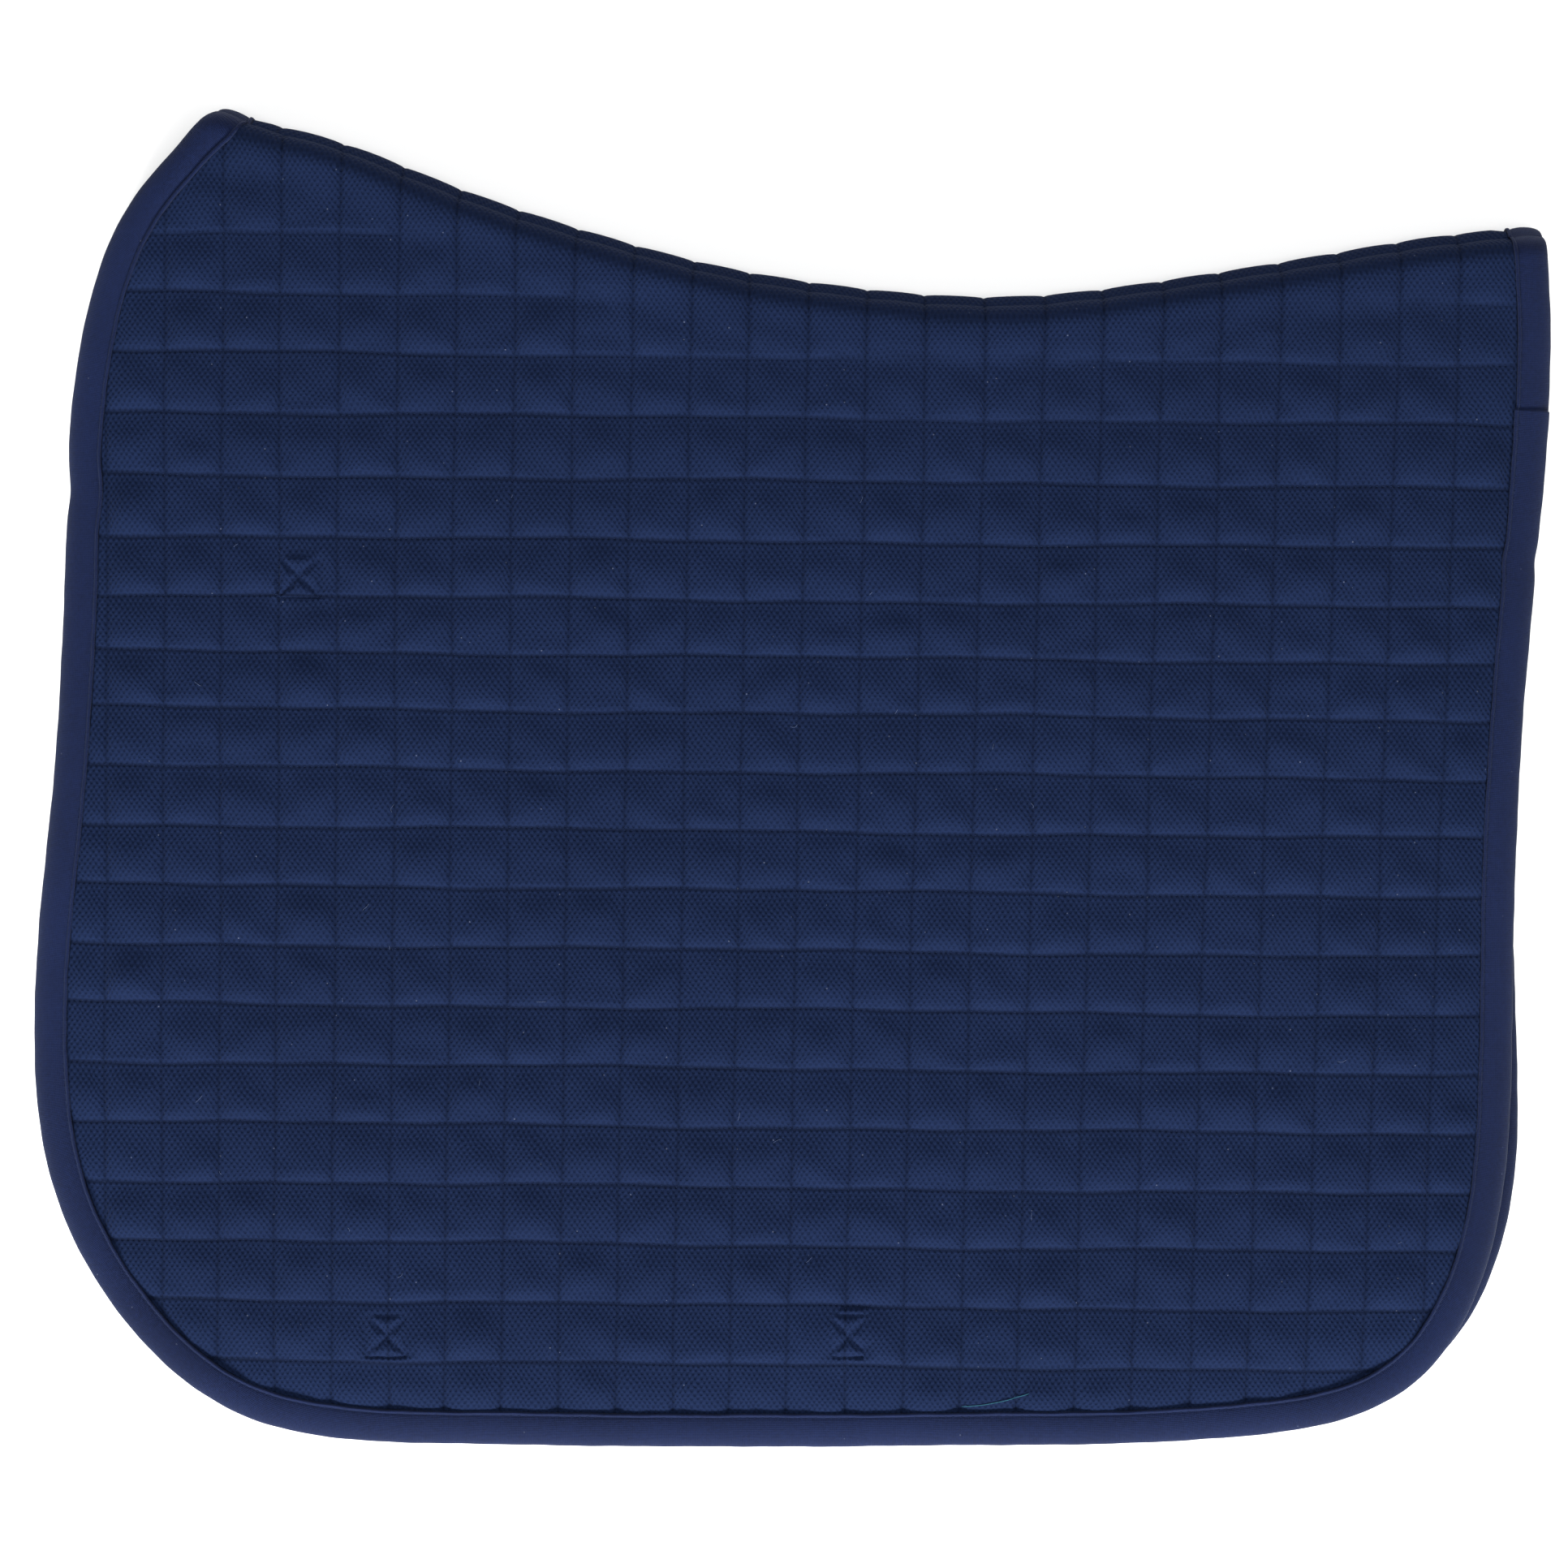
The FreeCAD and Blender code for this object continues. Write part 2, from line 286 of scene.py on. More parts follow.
quiltUse = {
    "column": 25.1 * mm, "row": 25.6 * mm, "firstColumn": 57.0 * mm, "firstRow": 51.0 * mm,
    "slope": -0.011, "columns": (-2, 25), "rows": (-3, 21),
    "fan": 0.06,           # columns spread towards the spine, per metre
    "rowWander": 0.75 * mm, "columnWander": 0.45 * mm,
    "rowSag": 3.0 * mm,    # a few rows about the fifth lie lower
    "columnLean": 1.5 * mm,
    "pitch": 3.1 * mm, "stitch": (2.6 * mm, 0.42 * mm),    # length and thickness of a stitch
}
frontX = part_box("right_edge_binding")[0].x
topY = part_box("left_edge_binding")[1].y - 2.4 * mm
rowPhase = rng.uniform(0, 2 * math.pi, (40, 3))
columnPhase = rng.uniform(0, 2 * math.pi, (40, 3))
rowShift = rng.uniform(-0.4, 0.4, 40) * mm
columnShift = rng.uniform(-0.35, 0.35, 40) * mm


def wander(index, along, phases, shifts, size):
    # how far a whole-numbered line of stitches strays; between lines it is shared out
    def line(k):
        k = k.astype(int) % 40
        a, b, c = phases[k].T
        wave = 0.6 * np.sin(along * 19 + a) + 0.5 * np.sin(along * 47 + b) + 0.25 * np.sin(along * 113 + c)
        return wave * size + shifts[k]
    low = np.floor(index)
    return mix(line(low), line(low + 1), index - low)


def quiltPoint(s, t):
    # column s and row t of the quilting, as a place on the cloth laid flat
    q = quiltUse
    x = frontX + q["firstColumn"] + s * q["column"]
    y = topY - q["firstRow"] - t * q["row"] + q["slope"] * (x - frontX)
    dx = wander(s, y, columnPhase, columnShift, q["columnWander"])
    dx = dx - q["columnLean"] * np.sin(math.pi * np.clip(s / 22, 0, 1))
    dx = dx + (x - frontX) * y * q["fan"]
    dy = wander(t, x, rowPhase, rowShift, q["rowWander"])
    dy = dy - q["rowSag"] * np.exp(-((t - 5.3) / 2.2) ** 2)
    return x + dx, y + dy


puffUse = {"cells": 8, "steps": 10, "frames": 20, "pressure": 3.2, "slack": -0.07, "cap": 9 * mm,
           "skew": 1.8}       # crowns lie nearer the lower seam of each row


def simulatedPuffs():
    # a patch of cloth held along its stitch lines and blown up: its squares are the puffs of the quilting
    cells, steps = puffUse["cells"], puffUse["steps"]
    n = cells * steps + 1
    flat = np.zeros((n, n, 3))
    flat[..., 0] = (np.arange(n) * quiltUse["column"] / steps)[None, :]
    flat[..., 1] = (np.arange(n) * quiltUse["row"] / steps)[:, None]
    start = flat.copy()
    start[..., 2] = rng.uniform(0, 0.25 * mm, (n, n))
    idx = np.arange(n * n).reshape(n, n)
    quads = np.stack([idx[:-1, :-1], idx[:-1, 1:], idx[1:, 1:], idx[1:, :-1]], -1).reshape(-1, 4)
    held = (np.arange(n) % steps == 0)
    pinned = (held[:, None] | held[None, :])
    start[pinned, 2] = 0
    jitter = rng.uniform(-0.35, 0.35, (n, n, 2)) * mm
    start[..., :2] += jitter * pinned[..., None]
    ob = newObject("puffPatch", start.reshape(-1, 3), quads)
    group = ob.vertex_groups.new(name="held")
    group.add(idx[pinned].tolist(), 1.0, "REPLACE")
    cloth = ob.modifiers.new("cloth", "CLOTH")
    use = cloth.settings
    use.quality, use.mass = 5, 0.15
    use.tension_stiffness = use.compression_stiffness = 6
    use.shear_stiffness, use.bending_stiffness = 3, 0.08
    use.vertex_group_mass = "held"
    use.use_pressure, use.uniform_pressure_force = True, puffUse["pressure"]
    use.shrink_min = puffUse["slack"]
    use.effector_weights.gravity = 0
    cloth.collision_settings.use_collision = False
    scene = bpy.context.scene
    for f in range(1, puffUse["frames"] + 1):
        scene.frame_set(f)
    shown = ob.evaluated_get(bpy.context.evaluated_depsgraph_get()).to_mesh()
    got = np.zeros(len(shown.vertices) * 3, np.float32)
    shown.vertices.foreach_get("co", got)
    scene.frame_set(1)
    bpy.data.objects.remove(ob)
    moved = np.clip(got.reshape(n, n, 3) - flat, -puffUse["cap"], puffUse["cap"])
    moved[..., :2] -= jitter * pinned[..., None]
    print("puffs simulated, highest", round(float(moved[..., 2].max() / mm), 2), "mm")
    return moved


def puffLibrary():
    moved = simulatedPuffs()
    cells, steps = puffUse["cells"], puffUse["steps"]
    crown = np.percentile(moved[..., 2], 97)
    lib = np.stack([moved[r * steps:(r + 1) * steps + 1, c * steps:(c + 1) * steps + 1]
                    for r in range(cells) for c in range(cells)])
    lib[..., 2] = np.clip(lib[..., 2] / crown, 0, 1.15) ** 0.85
    lib[..., :2] = np.clip(lib[..., :2], -0.7 * mm, 0.7 * mm)
    return lib


puffs = puffLibrary()
cellPick = rng.integers(0, len(puffs), (64, 64))


def puffAt(s, t):
    # sideways moves and share of the crown height at any column and row
    steps = puffUse["steps"]
    c, r = np.floor(s).astype(int), np.floor(t).astype(int)
    u, v = (s - c) * steps, (t - r) ** puffUse["skew"] * steps
    i, j = np.minimum(u.astype(int), steps - 1), np.minimum(v.astype(int), steps - 1)
    fu, fv = (u - i)[:, None], (v - j)[:, None]
    pick = puffs[cellPick[r % 64, c % 64]]
    k = np.arange(len(s))
    low = mix(pick[k, j, i], pick[k, j, i + 1], fu)
    high = mix(pick[k, j + 1, i], pick[k, j + 1, i + 1], fu)
    return mix(low, high, fv)


clothUse = {
    # heights out from the middle of the half: at the stitches and at the crown of a puff
    "rightLining": (2.1 * mm, 5.9 * mm), "leftLining": (2.6 * mm, 4.4 * mm),
    "cover": (2.7 * mm, 4.1 * mm),
    "rim": 2.5 * mm,       # under the binding, from which it rises over a short way
    "rimFrom": 12.2 * mm, "rimOver": 8.5 * mm,
    "uneven": 0.35 * mm,
    "columnFill": 0.22,    # the stitch lines down the columns lie less deep than those along the rows
    # half widths of the painted shadow lines that darken the colour along the stitches, and how far below a
    # row's stitches its painted shadow lies
    "rowShadeLine": 0.75 * mm, "columnShadeLine": 0.7 * mm, "boxShadeLine": 0.5 * mm, "shadeLineDrop": 0.35 * mm,
    # distances from the seam over which the rows begin, and over which the painted shadow under the rows
    # grows to full strength
    "rowsFrom": 9 * mm, "rowsOver": 24 * mm, "rowShadeFrom": 30 * mm, "rowShadeOver": 60 * mm,
    "boxSide": 19 * mm, "boxPuff": 1.6 * mm, "boxPitch": 2.4 * mm, "boxStitch": (2.1 * mm, 0.55 * mm),
}


def stitchBoxes(side):
    low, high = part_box(side + "_keeper_base")
    spots = [((low.x + high.x) / 2, (low.y + high.y) / 2)]
    low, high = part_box(side + "_girth_strap")
    half = (high.y - low.y) / 2
    return spots + [(low.x + half, low.y + half), (high.x - half, low.y + half)]


def unevenness(x, y, seed):
    return (np.sin(x * 41 + y * 17 + seed) + np.sin(x * 23 - y * 52 + 2 * seed)
            + 0.7 * np.sin(x * 74 + y * 66 + 3 * seed) + 0.4 * np.sin(x * 9 - y * 131 + seed)) / 2.4


def boxLine(x, y, cx, cy):
    # distance to the nearest line of a boxed cross, and how far outside the box
    a, b = np.abs(x - cx), np.abs(y - cy)
    size = clothUse["boxSide"] / 2 - 0.4 * mm
    outside = np.maximum(a, b) - size
    return np.minimum(np.abs(outside), np.where(outside < 0, np.abs(a - b) / 1.42, 1)), outside


# painted shade along the lines of each boxed cross: how much the colour is darkened there
def boxShadeLine(half, x, y):
    deep = np.zeros(len(x))
    for cx, cy in stitchBoxes(half["side"]):
        line, outside = boxLine(x, y, cx, cy)
        deep = np.maximum(deep, 0.16 * np.exp(-(line / clothUse["boxShadeLine"]) ** 2) * (outside < 2 * mm))
    return deep


def clothHeight(half, face, x, y, rim, crown):
    # height of a face out from the middle of the half
    key = half["side"] + "Lining" if face == "lining" else "cover"
    low, high = clothUse[key]
    seed = 1.3 * half["out"] + (face == "cover")
    bulge = 1 + 0.16 * unevenness(x * 2.3, y * 2.3, seed + 5)
    h = low + (high - low) * crown * (bulge if key == "rightLining" else 1)
    h = h + clothUse["uneven"] * unevenness(x, y, seed) * (key == "rightLining")
    h = mix(clothUse["rim"], h, smooth((rim - clothUse["rimFrom"]) / clothUse["rimOver"]))
    for cx, cy in stitchBoxes(half["side"]):
        line, outside = boxLine(x, y, cx, cy)
        if face == "lining":
            sewn = low + 0.5 * mm + clothUse["boxPuff"] * np.sqrt(smooth(line / (3.4 * mm)))
        else:
            sewn = high + 0.25 * mm + 0 * line
        h = mix(h, sewn, 1 - smooth((outside - 0.3 * mm) / (3.2 * mm)))
    return h if face == "lining" else -h


def rowAt(half, s, distance):
    # the row number at which column s is this far from the seam
    t = np.zeros(len(s)) + 2.0
    for _ in range(6):
        x, y = quiltPoint(s, t)
        t = t + (y - (spineAt(half, x) - half["back"] + half["arc"] - distance)) / quiltUse["row"]
    return t


# near the spine the mesh follows the seam at these distances, and further down it follows the rows
seamSteps = np.array([0, 0.8, 1.8, 3.1, 4.6, 6.4, 8.5, 10.8, 13.4, 16.2, 19.4, 23.0, 27.0]) * mm
flatFrom = 29 * mm
boxSpan, boxSplit = 11.8 * mm, 5


def latticeFaces(half, shares):
    # columns and rows of every mesh point, and the faces between them
    s0, s1 = quiltUse["columns"]
    t0, t1 = quiltUse["rows"]
    s = np.array([k + u for k in range(s0, s1) for u in shares] + [s1], float)
    t = np.array([k + u for k in range(t0, t1) for u in shares] + [t1], float)
    wide, tall, chain = len(s), len(t), len(seamSteps)
    gridS, gridT = (g.ravel() for g in np.meshgrid(s, t))
    first = np.argmax(fromSeam(half, *quiltPoint(gridS, gridT)).reshape(tall, wide) >= flatFrom, axis=0)
    chainS, distance = np.repeat(s, chain), np.tile(seamSteps, wide)
    allS, allT = np.r_[gridS, chainS], np.r_[gridT, rowAt(half, chainS, distance)]
    idx = np.arange(wide * tall).reshape(tall, wide)
    top = wide * tall + np.arange(wide * chain).reshape(wide, chain)
    faces = []
    for i in range(wide - 1):
        a, b = first[i], first[i + 1]
        faces += [(top[i, k], top[i, k + 1], top[i + 1, k + 1], top[i + 1, k]) for k in range(chain - 1)]
        faces.append((top[i, -1], idx[a, i], idx[b, i + 1], top[i + 1, -1]))
        faces += [(idx[j, i], idx[j + 1, i], idx[b, i + 1]) for j in range(a, b)]
        faces += [(idx[j, i + 1], idx[a, i], idx[j + 1, i + 1]) for j in range(b, a)]
        faces += [(idx[j, i], idx[j + 1, i], idx[j + 1, i + 1], idx[j, i + 1])
                  for j in range(max(a, b), tall - 1)]
    return allS, allT, faces


def splitAtBoxes(half, s, t, faces):
    # faces at the boxed crosses are split finely; a neighbour keeps its plane and takes the new
    # points into its edge
    x, y = quiltPoint(s, t)
    near = np.zeros(len(s), bool)
    for cx, cy in stitchBoxes(half["side"]):
        near |= np.maximum(np.abs(x - cx), np.abs(y - cy)) < boxSpan
    extra, onEdge, done, n = [], {}, [], boxSplit

    def point(ps, pt):
        extra.append((ps, pt))
        return len(s) + len(extra) - 1

    def edge(a, b):
        key = (min(a, b), max(a, b))
        if key not in onEdge:
            u, v = key
            onEdge[key] = [point(mix(s[u], s[v], k / n), mix(t[u], t[v], k / n)) for k in range(1, n)]
        run = [key[0], *onEdge[key], key[1]]
        return run if a == key[0] else run[::-1]

    fine = [len(f) == 4 and all(near[k] for k in f) for f in faces]
    for f in (f for f, use in zip(faces, fine) if use):
        a, b, c, d = f
        left, right, high, low = edge(a, b), edge(d, c), edge(a, d), edge(b, c)
        rows = [high]
        for j in range(1, n):
            u = j / n
            rows.append([left[j]] + [point(mix(mix(s[a], s[d], k / n), mix(s[b], s[c], k / n), u),
                                           mix(mix(t[a], t[d], k / n), mix(t[b], t[c], k / n), u))
                                     for k in range(1, n)] + [right[j]])
        rows.append(low)
        done += [(rows[j][k], rows[j + 1][k], rows[j + 1][k + 1], rows[j][k + 1])
                 for j in range(n) for k in range(n)]
    tied = {}
    for f in (f for f, use in zip(faces, fine) if not use):
        around = []
        for a, b in zip(f, f[1:] + f[:1]):
            key = (min(a, b), max(a, b))
            around.append(a)
            if key in onEdge:
                run = edge(a, b)
                around += run[1:-1]
                tied.update({p: (a, b, (k + 1) / n) for k, p in enumerate(run[1:-1])})
        done.append(tuple(around))
    more = np.array(extra).reshape(-1, 2)
    return np.r_[s, more[:, 0]], np.r_[t, more[:, 1]], done, tied


def quiltedPanel(half, shares):
    # one closed form: lining outside, cover inside, with the wadding's thickness between them
    s, t, faces, tied = splitAtBoxes(half, *latticeFaces(half, shares))
    x, y = quiltPoint(s, t)
    rim = np.full(len(s), -1.0)
    wanted = np.unique(np.concatenate([np.array(f) for f in faces]))
    rim[wanted] = fromRim(half, x[wanted], y[wanted])
    faces = [f for f in faces if all(rim[k] > 5 * mm for k in f)]
    used = np.unique(np.concatenate([np.array(f) for f in faces]))
    renumber = -np.ones(len(s), int)
    renumber[used] = np.arange(len(used))
    faces = [tuple(renumber[list(f)].tolist()) for f in faces]
    ties = np.array([(renumber[p], renumber[a], renumber[b]) for p, (a, b, _) in tied.items()
                     if min(renumber[p], renumber[a], renumber[b]) >= 0])
    shareOf = {renumber[p]: v for p, (_, _, v) in tied.items()}
    s, t, x, y, rim = (v[used] for v in (s, t, x, y, rim))
    seam = np.maximum(fromSeam(half, x, y), 0)
    puff = puffAt(s, t)
    u, v = s - np.floor(s), (t - np.floor(t)) ** puffUse["skew"]
    alongRow, alongColumn = 1 - (2 * v - 1) ** 2, 1 - (2 * u - 1) ** 2
    fill = clothUse["columnFill"]
    crown = (1 - fill) * puff[:, 2] + fill * alongRow ** 0.85
    # over the fold only the columns pinch the cloth
    rows = smooth((seam - clothUse["rowsFrom"]) / clothUse["rowsOver"])
    crown = mix(0.25 + 0.75 * alongColumn ** 0.5, crown, rows)
    calm = smooth(seam / (5 * mm)) * rows
    # painted shadow: the colour is darkened in a line just below a row's stitches, faint near the spine,
    # and along the columns and boxed crosses
    rowGap = (t - np.round(t)) * quiltUse["row"] - clothUse["shadeLineDrop"]
    columnGap = (s - np.round(s)) * quiltUse["column"]
    rowShadeStrength = rows * mix(0.35, 1, smooth((seam - clothUse["rowShadeFrom"]) / clothUse["rowShadeOver"]))
    creaseShade = np.maximum(rowShadeStrength * np.exp(-(rowGap / clothUse["rowShadeLine"]) ** 2),
                        0.6 * np.exp(-(columnGap / clothUse["columnShadeLine"]) ** 2))
    creaseShade = np.maximum(creaseShade, boxShadeLine(half, x, y))
    points = []
    for face in ("lining", "cover"):
        h = clothHeight(half, face, x, y, rim, crown)
        got = place(half, x + puff[:, 0] * calm, y + puff[:, 1] * calm, h, rim)
        if len(ties):
            share = np.array([shareOf[p] for p in ties[:, 0]])[:, None]
            got[ties[:, 0]] = mix(got[ties[:, 1]], got[ties[:, 2]], share)
        points.append(got)
    n = len(x)
    inside = {(a, b) for f in faces for a, b in zip(f, f[1:] + f[:1])}
    walls = [(b, a, a + n, b + n) for a, b in inside if (b, a) not in inside]
    walls.sort()
    under = [tuple(k + n for k in reversed(f)) for f in faces]
    allFaces = faces + under + walls
    if half["out"] < 0:
        allFaces = [tuple(reversed(f)) for f in allFaces]
    uv = np.stack([x, y], 1)
    ob = newObject(half["side"] + "_quilted_panel", np.vstack(points), allFaces,
                   np.vstack([uv, uv]), {"creaseShade": np.concatenate([creaseShade, creaseShade])})
    ob["innerFrom"] = len(faces)
    bendWithFold(ob, half["out"] * np.concatenate([seam, seam]))
    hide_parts(half["side"] + "_lining", half["side"] + "_wadding", half["side"] + "_cover")
    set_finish(ob, "lining_cotton")
    return ob


# where the mesh lines lie in each square; the upper half is seen close and has more of them
meshShares = {"right": [0, 0.025, 0.07, 0.17, 0.34, 0.55, 0.76, 0.90, 0.96],
              "left": [0, 0.05, 0.18, 0.40, 0.62, 0.83, 0.95]}
panels = {side: quiltedPanel(halves[side], meshShares[side]) for side in ("right", "left")}
for side, ob in panels.items():
    print(side, "panel", sum(len(f.vertices) - 2 for f in ob.data.polygons), "triangles")

# the tape round the front edge, the hem and the rear edge

bindingUse = {
    "width": 15 * mm, "cloth": 0.8 * mm, "stitchSetback": 1.8 * mm,
    "face": 4.05 * mm,     # height of the tape out from the middle of the half
    "lip": 0.35 * mm,      # how far the free lip stands up
    # shares of the binding's height: the tape end on the rear edge, a dent and a pucker
    "lapAt": 0.7795, "dentAt": 0.7195, "puckerAt": 0.6656,
    "lapLength": 62 * mm, "lapHeight": 0.95 * mm,
    "dent": (1.5 * mm, 11 * mm), "pucker": (0.9 * mm, 6 * mm),    # how deep and how long
    "pinch": 0.42,         # share of the tape's height left at the seam
    "pitch": 3.3 * mm, "stitch": 2.5 * mm, "thread": 0.5 * mm,
}


def edgeY(share):
    low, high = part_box("right_edge_binding")
    return mix(low.y, high.y, share)


def tapeProfile():
    # from the lip on the outer face, round the edge, to the lip on the inner face: (inset, height share)
    w, setback = bindingUse["width"], bindingUse["stitchSetback"]
    face = [(w, 0.88), (w - 0.15 * mm, 1.05), (w - 0.6 * mm, 1.12), (w - 1.2 * mm, 1.08),
            (w - setback + 0.2 * mm, 0.86), (w - setback, 0.80), (w - setback - 0.3 * mm, 0.86),
            (w - 3.2 * mm, 0.97), (10.2 * mm, 1.04), (8.6 * mm, 1.07), (7.0 * mm, 1.05), (5.4 * mm, 0.98),
            (4.0 * mm, 0.88), (2.7 * mm, 0.74), (1.5 * mm, 0.56), (0.5 * mm, 0.32)]
    return face + [(0.0, 0.0)] + [(e, -h) for e, h in reversed(face)]


def tapeVariation(half, at, xy):
    # gentle changes along the tape: a wave from -1 to 1, and how far the edge is dented
    wave = 0.5 * np.sin(at * 61 + half["out"]) + 0.3 * np.sin(at * 173 + 2) + 0.2 * np.sin(at * 391)
    x, y = xy.T
    dents = 0
    for kind, there in (("dent", x < 0), ("pucker", x > 0)):
        deep, long = bindingUse[kind]
        dents = dents + np.exp(-((y - edgeY(bindingUse[kind + "At"])) / long) ** 2) * there * deep
    return wave, dents * (half["out"] > 0)


def lapShare(half, xy):
    # the lower length of tape laps over the upper one on the rear edge, and is flush again further down
    if half["out"] < 0:
        return np.zeros(len(xy))
    below = edgeY(bindingUse["lapAt"]) - xy[:, 1]
    step, long = smooth(below / (0.5 * mm)), bindingUse["lapLength"]
    return step * (1 - smooth((below - 0.35 * long) / (0.65 * long))) * (xy[:, 0] > 0)


def stopAtSeam(half, x, y):
    # what runs past the seam at either end of the tape is drawn back to where it crosses
    x, y = x.copy(), y.copy()
    seam = fromSeam(half, x, y)
    on = np.nonzero(seam >= 0)[0]
    for last, step in ((on[0], -1), (on[-1], 1)):
        after = last + step
        if 0 <= after < len(x):
            share = seam[last] / (seam[last] - seam[after])
            past = slice(0, last) if step < 0 else slice(after, len(x))
            x[past], y[past] = mix(x[last], x[after], share), mix(y[last], y[after], share)
    return x, y


def weld(ob):
    # points that fell together become one
    work = bmesh.new()
    work.from_mesh(ob.data)
    bmesh.ops.remove_doubles(work, verts=work.verts, dist=1e-6)
    work.to_mesh(ob.data)
    work.free()


def edgeBinding(half):
    path, inward = half["bound"], half["inward"]
    at = np.r_[0, np.cumsum(np.hypot(*np.diff(path, axis=0).T))]
    if half["out"] > 0:
        # closer rings where the tape end makes its step
        k = int(np.argmin(np.abs(path[:, 1] - edgeY(bindingUse["lapAt"])) + 9 * (path[:, 0] < 0)))
        more = at[k] + np.linspace(-2.4, 2.4, 13) * mm
        allAt = np.unique(np.round(np.r_[at, more], 6))
        path = np.stack([np.interp(allAt, at, path[:, c]) for c in (0, 1)], 1)
        inward = np.stack([np.interp(allAt, at, inward[:, c]) for c in (0, 1)], 1)
        at = allAt
    wave, dent = tapeVariation(half, at, path)
    lap = lapShare(half, path)
    profile = tapeProfile()
    rings = []
    for inset, share in profile:
        lip = smooth((inset - 11.5 * mm) / (3 * mm))
        e = inset + dent + 0.22 * mm * wave * (1 - lip) + 0.3 * mm * wave[::-1] * lip
        e = e - lap * 0.5 * mm * (1 - lip) + lap * 0.6 * mm * lip
        raised = lap * bindingUse["lapHeight"] + lip * bindingUse["lip"] * (0.6 + 0.4 * wave)
        h = share * bindingUse["face"] + np.sign(share) * raised
        if half["out"] < 0:
            h = np.clip(h, -5 * mm, half["thick"] - 0.1 * mm)
        rings.append((path + inward * e[:, None], h, inset))
    # the inside of the tape, one cloth thickness in
    for inset, share in reversed(profile[::3]):
        inner = max(inset, bindingUse["cloth"])
        h = share * (bindingUse["face"] - bindingUse["cloth"]) + np.zeros(len(path))
        rings.append((path + inward * (inner + dent)[:, None], h, inner))
    n, m = len(path), len(rings)
    points, uvs, seams = [], [], []
    around = 0
    for k, (xy, h, inset) in enumerate(rings):
        x, y = stopAtSeam(half, *xy.T)
        seam = np.maximum(fromSeam(half, x, y), 0)
        points.append(place(half, x, y, h, np.full(n, inset), bindingUse["pinch"]))
        if k:
            around += abs(inset - rings[k - 1][2]) + float(abs(h[0] - rings[k - 1][1][0]))
        uvs.append(np.stack([at, np.full(n, around)], 1))
        seams.append(seam)
    faces = []
    for k in range(m):
        a, b = k * n, ((k + 1) % m) * n
        faces += [(a + i, a + i + 1, b + i + 1, b + i) for i in range(n - 1)]
    faces += [tuple(k * n for k in range(m)), tuple(k * n + n - 1 for k in reversed(range(m)))]
    if half["out"] > 0:
        faces = [tuple(reversed(f)) for f in faces]
    ob = newObject(half["side"] + "_edge_tape", np.vstack(points), faces, np.vstack(uvs))
    bendWithFold(ob, half["out"] * np.concatenate(seams))
    weld(ob)
    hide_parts(half["side"] + "_edge_binding")
    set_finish(ob, "binding_tape")
    return ob


# rows of stitches


# a stitch is a spindle of thread that dives into the cloth at both ends
stitchFaces = [(0, 3, 2), (0, 4, 3), (0, 5, 4), (0, 2, 5), (1, 2, 3), (1, 3, 4), (1, 4, 5), (1, 5, 2)]


def stitchShape(size, sink):
    # its points as (along, across, up): two sunk ends, and four round the middle
    long, thick = size
    points = [(-0.5, 0, -sink), (0.5, 0, -sink), (0, 0.5, 0), (0, 0, 0.55), (0, -0.5, 0), (0, 0, -0.5)]
    return [(a * long, b * thick, c * thick) for a, b, c in points]


def stitches(name, half, runs, size, replaced, rim=None):
    # runs are (x, y, dx, dy, h) of the stitches' middles
    x, y, dx, dy, h = (np.concatenate([r[k] for r in runs]) for k in range(5))
    out, flat = np.sign(h), stitchShape(size, 0.6)
    px = np.stack([x + dx * a - dy * b for a, b, _ in flat], 1).ravel()
    py = np.stack([y + dy * a + dx * b for a, b, _ in flat], 1).ravel()
    ph = np.stack([h + out * c for _, _, c in flat], 1).ravel()
    inset = np.repeat(fromRim(half, x, y) if rim is None else np.full(len(x), rim), 6)
    seam = fromSeam(half, px, py)
    points = place(half, px, py + np.minimum(seam, 0), ph, inset)
    base = np.arange(len(x))[:, None] * 6
    faces = (base[:, None, :] + np.array(stitchFaces)[None, :, :]).reshape(-1, 3)
    flip = np.repeat(out * half["out"] > 0, 8)
    faces[flip] = faces[flip][:, ::-1]
    ob = newObject(half["side"] + name, points, faces.tolist(), np.stack([px, py], 1))
    bendWithFold(ob, half["out"] * np.maximum(seam, 0))
    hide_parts(*(half["side"] + r for r in replaced))
    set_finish(ob, "thread")
    return ob


def bindingStitches(half):
    line = resample(half["bound"][6:-6], bindingUse["pitch"])
    at = np.gradient(line, axis=0)
    at /= np.hypot(*at.T)[:, None]
    inset = bindingUse["width"] - bindingUse["stitchSetback"]
    xy = line + np.stack([-at[:, 1], at[:, 0]], 1) * inset
    h = bindingUse["face"] * 0.8 + 0.25 * mm + lapShare(half, xy) * bindingUse["lapHeight"]
    runs = [(xy[:, 0], xy[:, 1], at[:, 0], at[:, 1], h * way) for way in (1, -1)]
    return stitches("_edge_stitches", half, runs, (bindingUse["stitch"], bindingUse["thread"]),
                    ["_binding_thread"], rim=inset)


